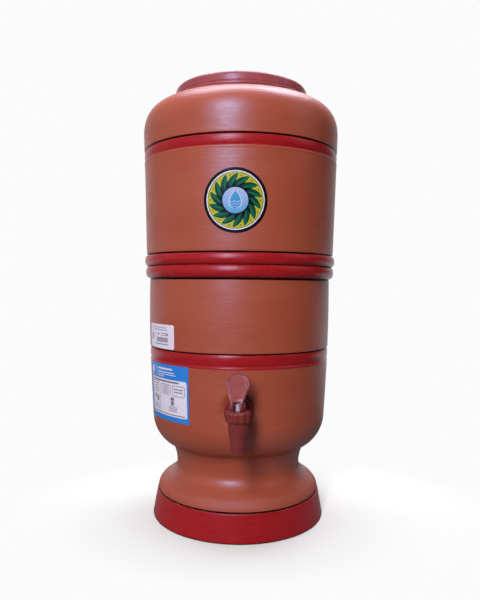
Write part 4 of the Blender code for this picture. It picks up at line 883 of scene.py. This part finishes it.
def float_arm():
    """A squared bar that swells round its pin and ends in a round rod, which the float sits on."""
    along = np.concatenate([
        [-69, -69, -68.6, -68], np.linspace(-66, -57, 5), [-56, -55.4, -54.6, -53.5],
        np.linspace(-50, -8, 11), np.linspace(-6, 4, 11), [5.2, 5.7, 5.95, 6],
    ])
    bar = smoothly(along, -56.4, -54.4)
    ends = np.ones(len(along))
    ends[:4] = (0, 0.75, 0.93, 1)
    ends[-4:] = (0.96, 0.86, 0.6, 0)
    half_up = (1.8 + 0.65 * bar + 1.0 * np.exp(-((along / 3.6) ** 2))) * ends
    sections = squared(along, (1.8 + 1.15 * bar) * ends, half_up, 2 + 4 * bar)
    piece = surface("arm", on_arm(sections[..., [2, 0, 1]]))
    return combine(piece, "DIFFERENCE", pin_hole(on_arm, 9, 24))


def turned_on_arm(line, columns):
    """A line turned about the arm's own length."""
    return on_arm(turned(line, columns, centre=(0.0, 0.0))[..., [2, 0, 1]])


def float_body():
    """A squat hollow float: a drum with round edges and a welded seam round its middle."""
    line = np.concatenate([
        [(0, -15.0)], arc((11, -9), 6, 6, -90, 0, 10), [(17, -0.8), (17.35, -0.4), (17.35, 0.4), (17, 0.8)],
        arc((11, 9), 6, 6, 0, 90, 10), [(3.2, 15), (2.6, 14.5), (0, 14.5)],
    ])
    piece = surface("float_drum", on_arm(turned(divided(line, 1.8), 96, centre=(-FLOAT_REACH, 0.0))))
    return combine(piece, "DIFFERENCE", rod("float_bore", 2.1, -70.5, -56, 36, turned_on_arm))


# Finishes

class Field:
    """A node's output: a number or colour that varies over a surface, and is reckoned with as a number is."""

    def __init__(self, nodes, socket):
        self.nodes = nodes
        self.socket = socket

    def __add__(self, other):
        return self.nodes.math("ADD", self, other)

    def __sub__(self, other):
        return self.nodes.math("SUBTRACT", self, other)

    def __rsub__(self, other):
        return self.nodes.math("SUBTRACT", other, self)

    def __mul__(self, other):
        return self.nodes.math("MULTIPLY", self, other)

    def __truediv__(self, other):
        return self.nodes.math("DIVIDE", self, other)

    def __gt__(self, other):
        return self.nodes.math("GREATER_THAN", self, other)

    def __lt__(self, other):
        return self.nodes.math("LESS_THAN", self, other)

    def __abs__(self):
        return self.nodes.math("ABSOLUTE", self)


class Nodes:
    """The nodes of a material or of the world. Its methods add nodes and give their outputs as fields."""

    def __init__(self, tree):
        self.tree = tree

    def feed(self, socket, value):
        if isinstance(value, Field):
            self.tree.links.new(value.socket, socket)
        elif socket.type == "RGBA":
            socket.default_value = (*value, 1.0)
        else:
            socket.default_value = value

    def node(self, kind, *values, **settings):
        """A new node, whose first sockets are fed in their order."""
        made = self.tree.nodes.new("ShaderNode" + kind)
        for key, value in settings.items():
            setattr(made, key, value)
        for socket, value in zip(made.inputs, values):
            self.feed(socket, value)
        return made

    def fill(self, made, **sockets):
        """Feeds a node's sockets by their names."""
        for key, value in sockets.items():
            self.feed(made.inputs[key.replace("_", " ")], value)
        return made

    def output(self, made, name=0):
        return Field(self, made.outputs[name])

    def math(self, operation, *values, clamp=False):
        return self.output(self.node("Math", *values, operation=operation, use_clamp=clamp))

    def scaled(self, vector, sizes):
        return self.output(self.node("VectorMath", vector, sizes, operation="MULTIPLY"))

    def parts(self, vector):
        made = self.node("SeparateXYZ", vector)
        return [self.output(made, number) for number in range(3)]

    def ray(self, kind):
        """1 on Camera, Glossy or Transmission rays."""
        return self.output(self.node("LightPath"), "Is " + kind + " Ray")

    def ramp(self, value, start, end, low=0.0, high=1.0, kind="LINEAR"):
        """From low to high as the value goes from start to end, and level beyond them."""
        return self.output(self.node("MapRange", value, start, end, low, high, interpolation_type=kind))

    def between(self, value, low, high, soft=0.3):
        """1 between two values, with edges `soft` wide."""
        half = soft / 2
        return self.ramp(value, low - half, low + half) * self.ramp(value, high + half, high - half)

    def either(self, *masks):
        """The greatest of several masks."""
        total = masks[0]
        for mask in masks[1:]:
            total = self.math("MAXIMUM", total, mask)
        return total

    def from_middle(self, u, v):
        return self.math("SQRT", u * u + v * v)


class Finish(Nodes):
    """A material being made. Its patterns are laid out in millimetres in the resting object's own space."""

    def __init__(self, name, **sockets):
        self.material = bpy.data.materials.new(name)
        self.material.use_nodes = True
        super().__init__(self.material.node_tree)
        self.shader = self.tree.nodes["Principled BSDF"]
        self.fill(self.shader, **sockets)
        self.place = self.scaled(self.output(self.node("TexCoord"), "Object"), (1000, 1000, 1000))

    def mix(self, share, first, second):
        made = self.node("Mix", share, data_type="RGBA")
        self.feed(made.inputs[6], first)
        self.feed(made.inputs[7], second)
        return self.output(made, 2)

    def noise(self, size, detail=2.0, stretch=(1, 1, 1)):
        """A soft random pattern round 0.5, whose features are about `size` wide, times the stretch."""
        spread = self.scaled(self.place, [1 / (size * part) for part in stretch])
        return self.output(self.fill(self.node("TexNoise"), Vector=spread, Scale=1.0, Detail=detail), "Fac")

    def specks(self, spacing, size, share):
        """1 inside small spots, where the nearest of scattered points is close and its random number low."""
        made = self.fill(self.node("TexVoronoi"), Vector=self.place, Scale=1 / spacing)
        spot = self.ramp(self.output(made, "Distance"), size / spacing, size * 0.5 / spacing)
        return spot * (self.parts(self.output(made, "Color"))[0] < share)

    def finished(self, colour, roughness, *relief, **sockets):
        """The material with its colour, roughness and bumps, each a (pattern, height in millimetres)."""
        total = 0.0
        for pattern, height in relief:
            total = pattern * height + total
        bump = self.fill(self.node("Bump"), Height=total, Distance=MM, Strength=1.0)
        self.fill(self.shader, Base_Color=colour, Roughness=roughness, Normal=self.output(bump), **sockets)
        return self.material


CLAY = (0.42, 0.079, 0.032)
CLAY_DARK = (0.31, 0.052, 0.019)
CLAY_PALE = (0.49, 0.114, 0.054)
CLAY_SPECK = (0.10, 0.015, 0.010)
RED = (0.35, 0.007, 0.010)
RED_WORN = (0.39, 0.014, 0.018)
DARK_RED = (0.014, 0.002, 0.003)
COOL = (0.34, 0.60, 1.0)
PAINT_SHEEN = (0.25, 0.28, 0.42)
NO_SHEEN = (0.05, 0.05, 0.05)
SCUFFED_Z = (40, 50)
UNTINTED = (1, 1, 1)
TAP_COLOURS = [(0.235, 0.034, 0.028), (0.195, 0.027, 0.022)]


def painted_terracotta():
    """Burnished terracotta with red bands. Masks come from the height and the distance from the axis.

    The clay over the foot's band, which hands hold, is more matt.
    """
    made = Finish("painted_terracotta", Specular_IOR_Level=0.95)
    x, y, z = made.parts(made.place)
    radius = made.from_middle(x, y - AXIS_Y)
    brushed = z + made.noise(9, 3) * 0.7 - 0.35
    # dark holds the groove lines and a painted shadow along the foot's bottom edge
    red, dark = (
        made.either(*[made.between(height, low, high) * (radius > least) for low, high, least in lines])
        for height, lines in ((brushed, RED_BANDS), (z, DARK_LINES_AND_FOOT_SHADOW))
    )
    bare = 1.0 - red
    cloud = made.ramp(made.noise(55, 4, (1, 1, 0.5)), 0.35, 0.65)
    streak = made.ramp(made.noise(60, 5, (1, 1, 0.03)), 0.36, 0.64)
    specks = made.specks(4.0, 0.55, 0.22)
    clay = made.mix(cloud * 0.35, CLAY, CLAY_PALE)
    clay = made.mix(streak * 0.16, clay, CLAY_DARK)
    clay = made.mix(specks * 0.6, clay, CLAY_SPECK)
    worn = made.ramp(made.noise(16, 5, (1, 1, 0.25)), 0.30, 0.75)
    colour = made.mix(red, clay, made.mix(worn, RED_WORN, RED))
    uneven = made.ramp(made.noise(7, 4, (1, 1, 0.3)), 0.3, 0.7, 0.36, 0.46)
    return made.finished(
        made.mix(dark, colour, DARK_RED),
        uneven - red * 0.10 + made.ramp(z, *SCUFFED_Z, 0.25, 0.0) * bare,
        (made.noise(34, 1, (1, 1, 0.5)), 0.5),
        (made.noise(45, 3, (1, 1, 0.05)), 0.12),
        (made.noise(30, 2, (1, 1, 0.014)), 0.03),
        (made.noise(2.4, 3), 0.035),
        (made.noise(0.9, 3), 0.035),
        (specks * bare, -0.10),
        Specular_Tint=made.mix(dark, made.mix(red, COOL, PAINT_SHEEN), NO_SHEEN),
    )


def bare_terracotta():
    """Unpolished clay inside the vessels: paler, matt and grainy, with the potter's turning rings."""
    made = Finish("bare_terracotta")
    specks = made.specks(3.0, 0.5, 0.3)
    clay = made.mix(made.ramp(made.noise(40, 4), 0.3, 0.7), (0.42, 0.115, 0.060), (0.33, 0.075, 0.040))
    return made.finished(
        made.mix(specks * 0.5, clay, (0.14, 0.03, 0.02)),
        made.ramp(made.noise(5), 0.3, 0.7, 0.78, 0.92),
        (made.noise(60, 3, (1, 1, 0.07)), 0.5),
        (made.noise(1.2, 4), 0.08),
        (specks, -0.1),
    )


def moulded_plastic(name, colour, shade, roughness, tint=COOL, grain=0.01, clear=0.0):
    """Moulded plastic: faint flow marks in the colour, uneven gloss and a fine skin."""
    made = Finish(name, Specular_Tint=tint, Transmission_Weight=clear)
    flow = made.ramp(made.noise(14, 4, (1, 1, 0.6)), 0.35, 0.65)
    scuff = made.ramp(made.noise(2.5, 5), 0.45, 0.75)
    relief = [(made.noise(0.7, 2), grain), (made.noise(6, 1), 0.03)]
    return made.finished(made.mix(flow, colour, shade), scuff * 0.10 + roughness, *relief)


def gritty(name, colour, shade, roughness, grain, height):
    """A matt, porous body: mottled colour, and grains of one size standing out of it."""
    made = Finish(name, Specular_IOR_Level=0.3)
    mottle = made.ramp(made.noise(grain * 9, 4), 0.35, 0.65)
    pores = made.specks(grain * 2.5, grain * 0.5, 0.4)
    colour = made.mix(pores * 0.6, made.mix(mottle, colour, shade), [part * 0.55 for part in shade])
    return made.finished(colour, roughness, (made.noise(grain, 3), height), (pores, -height))


def drawn_steel():
    """Bright wire and pins: long fine scratches across a dull sheen."""
    made = Finish("drawn_steel", Metallic=1.0)
    scratch = made.noise(0.5, 4, (1, 1, 12))
    dull = made.ramp(made.noise(4, 3), 0.35, 0.7)
    colour = made.mix(dull, (0.62, 0.61, 0.59), (0.48, 0.47, 0.45))
    return made.finished(colour, made.ramp(scratch, 0.35, 0.65, 0.20, 0.38), (scratch, 0.012))


# Prints

PRINT_BLACK = (0.003, 0.003, 0.004)
PRINT_WHITE = (0.84, 0.78, 0.97)
PRINT_GREY = (0.12, 0.11, 0.14)
LIME = (0.46, 0.47, 0.035)
LEAF = (0.003, 0.055, 0.030)
LEAF_PALE = (0.006, 0.13, 0.075)
BERRY = (0.42, 0.09, 0.02)
SKY = (0.10, 0.36, 0.72)
SKY_PALE = (0.42, 0.50, 0.82)
WATER = (0.02, 0.18, 0.58)
WATER_PALE = (0.45, 0.66, 0.90)
CARD_BLUE = (0.028, 0.235, 0.78)
LEAVES = 14
LEAF_MIDDLE = 21.0
LEAF_HALF_LENGTH = 6.6
LEAF_HALF_WIDTH = 3.6
BERRY_MIDDLE = 26.0
DROP_TIP = 10.5
DROP_LENGTH = 19.0
DROP_FULLNESS = 15.6


class Print(Finish):
    """A printed label being made. u and v run from the middle of its flat sheet to the right and up."""

    def __init__(self, name, colour, **sockets):
        super().__init__(name, **sockets)
        flat = self.output(self.node("UVMap", uv_map="sheet"))
        self.u, self.v = self.parts(self.scaled(flat, (1000, 1000, 1000)))[:2]
        self.colour = colour

    def edge(self, box, corner):
        """How far a place lies outside a round-cornered (left, right, low, high) box, or under 0 inside."""
        left, right, low, high = box
        across = abs(self.u - (left + right) / 2) - ((right - left) / 2 - corner)
        up = abs(self.v - (low + high) / 2) - ((high - low) / 2 - corner)
        outside = self.from_middle(self.either(across, 0.0), self.either(up, 0.0))
        return outside + self.math("MINIMUM", self.either(across, up), -0.0001) - corner

    def over(self, mask, ink):
        self.colour = self.mix(mask, self.colour, ink)

    def blocks(self, ink, corner, strength, boxes):
        """Prints filled boxes of one ink."""
        masks = [self.ramp(self.edge(box, corner), 0.125, -0.125) for box in boxes]
        self.over(self.either(*masks) * strength, ink)

    def outline(self, box, corner, width, strength, ink):
        """Prints the outline of a box."""
        off = abs(self.edge(box, corner))
        self.over(self.ramp(off, width / 2 + 0.125, width / 2 - 0.125) * strength, ink)

    def on_paper(self):
        """The print on its coated paper: a fine tooth, a slight cockle, and a soft gloss."""
        gloss = self.ramp(self.noise(6, 4), 0.35, 0.65, 0.36, 0.48)
        return self.finished(self.colour, gloss, (self.noise(0.5, 3), 0.006), (self.noise(18, 2), 0.06))


def emblem_print():
    """A wreath of slanting leaves and berries round a drop of water, inside a white line and a black rim.

    A leaf's half width is its greatest times 1 - t t, where t runs from -1 to 1 along it. The drop's half
    width is its fullness times t sqrt(1 - t), where t runs from 0 at its tip to 1 at its foot.
    """
    made = Print("emblem_print", LIME, Specular_Tint=COOL, Specular_IOR_Level=0.2)
    u, v = made.u, made.v
    radius = made.from_middle(u, v)
    slant = made.math("ARCTAN2", v, u) + radius * 0.035
    off = made.math("FRACT", slant * (LEAVES / (2 * math.pi)) + 8.0) - 0.5
    leaf_room = radius * (2 * math.pi / LEAVES)
    across = off * leaf_room
    t = (radius - LEAF_MIDDLE) / LEAF_HALF_LENGTH
    beyond = abs(across) - (1.0 - t * t) * LEAF_HALF_WIDTH
    berry = made.from_middle((0.5 - abs(off)) * leaf_room, radius - BERRY_MIDDLE)
    made.over(made.ramp(berry, 1.05, 0.85), BERRY)
    made.over(made.ramp(radius, 21.5, 20.0), PRINT_BLACK)
    made.over(made.ramp(beyond, 0.55, 0.35) * made.between(radius, 14.0, 27.9), PRINT_BLACK)
    made.over(made.ramp(beyond, 0.1, -0.15), made.mix(made.ramp(across, -0.15, 0.15), LEAF_PALE, LEAF))
    bright = made.ramp(v, -13.0, 12.0)
    made.over(made.ramp(radius, 14.2, 14.0), PRINT_BLACK)
    made.over(made.ramp(radius, 13.5, 13.3), made.mix(bright, SKY, SKY_PALE))
    t = made.math("DIVIDE", DROP_TIP - v, DROP_LENGTH, clamp=True)
    width = made.math("SQRT", 1.0 - t) * (t * DROP_FULLNESS)
    beyond = abs(u) - width
    ripple = made.math("FRACT", (made.math("SINE", u * 1.15) * 0.55 + v) / 2.6 + 8.0)
    wave = made.between(ripple, 0.35, 0.60, 0.08) * made.ramp(v, 0.5, -0.5)
    water = made.mix(wave, made.mix(bright, WATER, SKY), WATER_PALE)
    made.over(made.ramp(beyond, 0.75, 0.55) * (width > 0.05), PRINT_WHITE)
    made.over(made.ramp(beyond, 0.1, -0.15) * (width > 0.05), water)
    made.over(made.ramp(radius, 28.5, 28.7), PRINT_BLACK)
    made.over(made.between(radius, 29.2, 30.4, 0.2), PRINT_WHITE)
    return made.on_paper()


def ticket_print():
    """A price ticket's plain rules and one block, on pale paper."""
    made = Print("ticket_print", PRINT_WHITE, Specular_IOR_Level=0.3)
    made.blocks((0.26, 0.16, 0.30), 0.3, 0.7, [(-17, 15, 9.2, 10.2), (-18, 17, 6.8, 7.8)])
    made.blocks(PRINT_GREY, 0.3, 0.85, [
        (-21.5, -17.5, -4.3, 2.9), (-12, -9, 2.1, 3.1), (-5.5, 1, 2.0, 3.0), (4, 17, 0.9, 1.7),
        (4, 17, 3.0, 3.8), (14, 17, 0.9, 3.8), (-12, 17, -9.2, -8.2),
    ])
    made.blocks((0.20, 0.13, 0.21), 0.3, 0.7, [(-8, 17, -6.3, -1.1)])
    return made.on_paper()


def rules(left, right, height, levels):
    """Boxes for lines of one length, one at each level."""
    return [(left, right, level, level + height) for level in levels]


def care_print():
    """A care card: white rules on blue over a white panel of rules, boxes and a small filter, in one grey."""
    made = Print("care_print", CARD_BLUE, Specular_IOR_Level=0.3)
    made.blocks(PRINT_WHITE, 0.4, 0.85, [
        (-14.5, 15, 25.2, 27.4), (-14.5, 18, 21.9, 23.1), (-14.5, 20.5, 19.6, 20.6), (-14.5, 0, 17.2, 18.2),
        (-32.5, -25.5, 19.0, 27.0), (-32.5, -25.5, 16.4, 17.6), (-18.5, -17.3, 16.8, 28.5),
    ])
    made.blocks(PRINT_WHITE, 2.6, 1.0, [(-32.5, 36.0, -25.8, 15.0)])
    made.blocks(PRINT_GREY, 0.3, 1.0, [(-30, 24.5, 11.6, 13.2), (-30, 33, -24.3, -23.4)])
    for box in ((-28.5, -10.5, -20.5, 10.4), (-6.5, 11.0, -1.6, 9.0), (14.5, 33.0, -2.4, 9.0)):
        made.outline(box, 1.8, 0.7, 0.85, PRINT_GREY)
    made.blocks(
        PRINT_GREY, 0.25, 0.75,
        rules(-4, 8.5, 0.9, (6.3, 4.2, 2.1, 0.0)) + rules(17, 30.5, 1.4, (4.6, 1.4))
        + rules(7.5, 21.5, 0.8, (-15.3, -16.9, -18.5, -20.1))
        + rules(-25, -14, 1.0, (7.4, 4.4, 1.4, -1.6, -16.2, -18.6)),
    )
    made.blocks(PRINT_GREY, 0.8, 0.9, [
        (-25, -20.5, -8.8, -4.6), (-18.5, -14, -12.2, -5.6), (11, 17, -8.0, -4.4), (11.5, 16.5, -12.2, -8.6),
        (10.5, 17.5, -13.4, -12.5),
    ])
    return made.on_paper()


# Camera, light and floor

CAMERA_DISTANCE = 0.709
CAMERA_HEIGHT = 0.278
CAMERA_TILT = math.radians(88.42)
CAMERA_ROLL = math.radians(0.5)
ROOM_DIM = 0.03
# Each of the room's glows: the way it lies, where it starts and is full, and how bright it is
ROOM_GLOW = [("Y", 0.55, 0.98, 0.90), ("Z", 0.50, 1.00, 0.20), ("X", 0.0, -1.0, 0.30)]
ROOM_BACK = (0.55, 0.98)
ROOM_WHITE = (0.965, 0.965, 0.97)
FLOOR_WHITE = (0.80, 0.80, 0.805)
NEAR_BOUNCE = (0.19, 0.19, 0.19)
FAR_BOUNCE = (0.08, 0.08, 0.08)
SHADOW_RIGHT = 25
SHADOW_BACK = 38
SHADOW_SQUEEZE = 1.5
SHADOW_FADE = (115, 300)
BOUNCE_FADE = (180, 450)
MIRRORED_FLOOR = (300, 900)
WARM = (1.0, 0.985, 0.97)
COLD = (0.97, 0.98, 1.0)
# Name, bearing, distance, height, size, watts, colour, and the height in millimetres that it is aimed at
LAMPS = [
    ("key", -15, 1.6, 1.12, (0.36, 1.0), 28, WARM, 330),
    ("overhead", 180, 0.35, 1.9, (1.6, 0.5), 29, COLD, 400),
    ("behind_right", 140, 1.0, 1.9, (0.7, 0.7), 9, COLD, 260),
    ("right_side", 75, 1.6, 1.3, (0.8, 1.0), 2.0, WARM, 400),
]


def camera():
    data = bpy.data.cameras.new("camera")
    data.sensor_fit = "VERTICAL"
    data.sensor_height = 36
    data.lens = 34.58
    data.clip_start = 0.02
    made = put("camera", data)
    made.location = (0.0007, AXIS_Y * MM - CAMERA_DISTANCE, CAMERA_HEIGHT)
    made.rotation_euler = (CAMERA_TILT, 0, 0)
    made.rotation_euler.rotate_axis("Z", CAMERA_ROLL)
    bpy.context.scene.camera = made


def soft_lamp(name, bearing, distance, height, size, watts, colour, aim):
    """A soft box, aimed at the vessels' axis."""
    data = bpy.data.lights.new(name, "AREA")
    data.shape = "RECTANGLE"
    data.size, data.size_y = size
    data.energy = watts
    data.color = colour
    made = put(name, data)
    angle = math.radians(bearing)
    made.location = (distance * math.sin(angle), AXIS_Y * MM - distance * math.cos(angle), height)
    made.rotation_euler = (math.atan2(distance, height - aim * MM), 0, angle)


def world():
    """A dim room, white to the camera, whose far end, ceiling and left side give the object some light.

    What the object mirrors of the room behind it is white too.
    """
    room = bpy.data.worlds.new("studio")
    bpy.context.scene.world = room
    room.use_nodes = True
    made = Nodes(room.node_tree)
    ways = dict(zip("XYZ", made.parts(made.output(made.node("TexCoord"), "Generated"))))
    level = ROOM_DIM
    for way, start, end, gain in ROOM_GLOW:
        level = made.ramp(ways[way], start, end, 0, gain, "SMOOTHSTEP") + level
    mirrored = (made.ray("Glossy") + made.ray("Transmission")) * made.ramp(ways["Y"], *ROOM_BACK)
    white = made.math("ADD", mirrored, made.ray("Camera"), clamp=True)
    made.fill(made.tree.nodes["Background"], Color=ROOM_WHITE, Strength=level + white * (1.0 - level))


def floor():
    """A pale sheet that keeps the object's shadow and fades into the white room with distance.

    The fade is an oval about a place behind the object's right, because the shadow reaches furthest there. To
    light that doesn't go straight to the camera the sheet is dark, so that it throws little light up.
    """
    half = 6.0
    mesh = bpy.data.meshes.new("floor")
    corners = [(-half, -half, 0), (half, -half, 0), (half, half, 0), (-half, half, 0)]
    mesh.from_pydata(corners, [], [(0, 1, 2, 3)])
    piece = put("floor", mesh)
    made = Finish("floor_paper", Roughness=0.9, Specular_IOR_Level=0.1)
    x, y = made.parts(made.place)[:2]
    mirrored = made.either(made.ray("Glossy"), made.ray("Transmission")) * made.ramp(y, *MIRRORED_FLOOR)
    seen = made.either(made.ray("Camera"), mirrored)
    oval = made.from_middle(x - SHADOW_RIGHT, y * SHADOW_SQUEEZE - SHADOW_BACK)
    fade = made.ramp(oval, *SHADOW_FADE) * seen
    bounce = made.mix(made.ramp(made.from_middle(x, y), *BOUNCE_FADE), NEAR_BOUNCE, FAR_BOUNCE)
    made.fill(made.shader, Base_Color=made.mix(seen, bounce, FLOOR_WHITE))
    glow = made.output(made.node("Emission", ROOM_WHITE))
    blend = made.node("MixShader", fade, made.output(made.shader), glow)
    made.fill(made.tree.nodes["Material Output"], Surface=made.output(blend))
    piece.data.materials.append(made.material)


# The whole object

def place(piece, body, slot, materials, *nodes):
    """Gives a piece its finish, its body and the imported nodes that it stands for."""
    for index, material in enumerate(materials):
        if index < len(piece.data.materials):
            piece.data.materials[index] = material
        else:
            piece.data.materials.append(material)
    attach(piece, body)
    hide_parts(*nodes)


def place_labels():
    disc = arc((0, 0), EMBLEM_RADIUS, EMBLEM_RADIUS, 0, 357.5, 143)
    emblem = label("emblem", disc, EMBLEM_SPOT, upper_wall)
    place(emblem, "upper_body", "emblem_print", [emblem_print()], "emblem_label")
    ticket = label("ticket", rounded_outline(*TICKET_SIZE), TICKET_SPOT, lower_wall)
    place(ticket, "lower_body", "ticket_paper", [ticket_print()], "ticket_label")
    card = label("care_card", rounded_outline(*CARD_SIZE), CARD_SPOT, lower_wall)
    place(card, "lower_body", "care_print", [care_print()], "care_label")


def place_spring(steel):
    """Places the valve's coil, with a mesh of its own."""
    coil = spring()
    place(coil, "lower_body", "steel", [steel], "valve_spring")
    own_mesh(coil)


def build():
    """Makes every piece of the object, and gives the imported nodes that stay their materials."""
    clay = painted_terracotta()
    bare = bare_terracotta()
    lid_plastic = moulded_plastic("maroon_plastic", (0.350, 0.080, 0.088), (0.300, 0.064, 0.072), 0.32)
    tap_plastic = moulded_plastic("red_brown_plastic", *TAP_COLOURS, 0.20)
    spout_plastic = moulded_plastic("matt_red_brown_plastic", *TAP_COLOURS, 0.50)
    # The lever's plastic is the tap's red-brown made lighter: a painted sheen for the broad light that its
    # tilted face mirrors
    lever_plastic_painted_sheen = moulded_plastic("lever_plastic_painted_sheen", (0.34, 0.082, 0.084), (0.30, 0.068, 0.070), 0.15)
    stem_plastic = moulded_plastic(
        "clear_plastic", (0.72, 0.66, 0.86), (0.62, 0.57, 0.76), 0.25, UNTINTED, clear=0.3
    )
    white = moulded_plastic("white_plastic", (0.76, 0.75, 0.72), (0.68, 0.67, 0.63), 0.34, UNTINTED)
    steel = drawn_steel()
    place(lower_vessel(), "lower_body", "terracotta", [clay, bare], "lower_vessel")
    place(upper_vessel(), "upper_body", "terracotta", [clay, bare], "upper_vessel")
    place(lid(), "lid_body", "lid_plastic", [lid_plastic], "lid")
    place(tap_body(), "lower_body", "tap_plastic", [tap_plastic], "tap_body")
    place(tap_spout(), "lower_body", "tap_plastic", [spout_plastic], "tap_spout")
    place(lever(), "lever_body", "tap_plastic", [lever_plastic_painted_sheen], "lever")
    place(stem(), "valve_body", "stem_plastic", [stem_plastic], "tap_stem")
    place_labels()
    place_spring(steel)
    place(wing_nut(), "upper_body", "white_plastic", [white], "candle_wing_nut")
    place(valve_body(), "upper_body", "white_plastic", [white], "float_valve_body")
    place(float_arm(), "float_body", "white_plastic", [white], "float_arm")
    place(float_body(), "float_body", "white_plastic", [white], "float")
    kept = {
        "white_plastic": white,
        "filter_ceramic": gritty("filter_ceramic", (0.78, 0.74, 0.66), (0.70, 0.66, 0.58), 0.85, 0.6, 0.05),
        "carbon": gritty("pressed_carbon", (0.030, 0.030, 0.032), (0.018, 0.018, 0.020), 0.75, 0.9, 0.20),
        "rubber": moulded_plastic(
            "black_rubber", (0.030, 0.029, 0.028), (0.020, 0.020, 0.019), 0.62, UNTINTED, 0.03
        ),
        "silicone": moulded_plastic(
            "milky_silicone", (0.60, 0.60, 0.58), (0.52, 0.52, 0.50), 0.45, UNTINTED, 0.02
        ),
        "steel": steel,
        "tap_plastic": tap_plastic,
    }
    for part in frame["record"]["subparts"]:
        node = frame["nodes"][part["node"]]
        if not node.hide_render:
            for material_slot in node.material_slots:
                material_slot.material = kept[part["material_slot"]]


camera()
world()
floor()
for lamp in LAMPS:
    soft_lamp(*lamp)
bpy.context.scene.view_settings.view_transform = "Standard"
build()
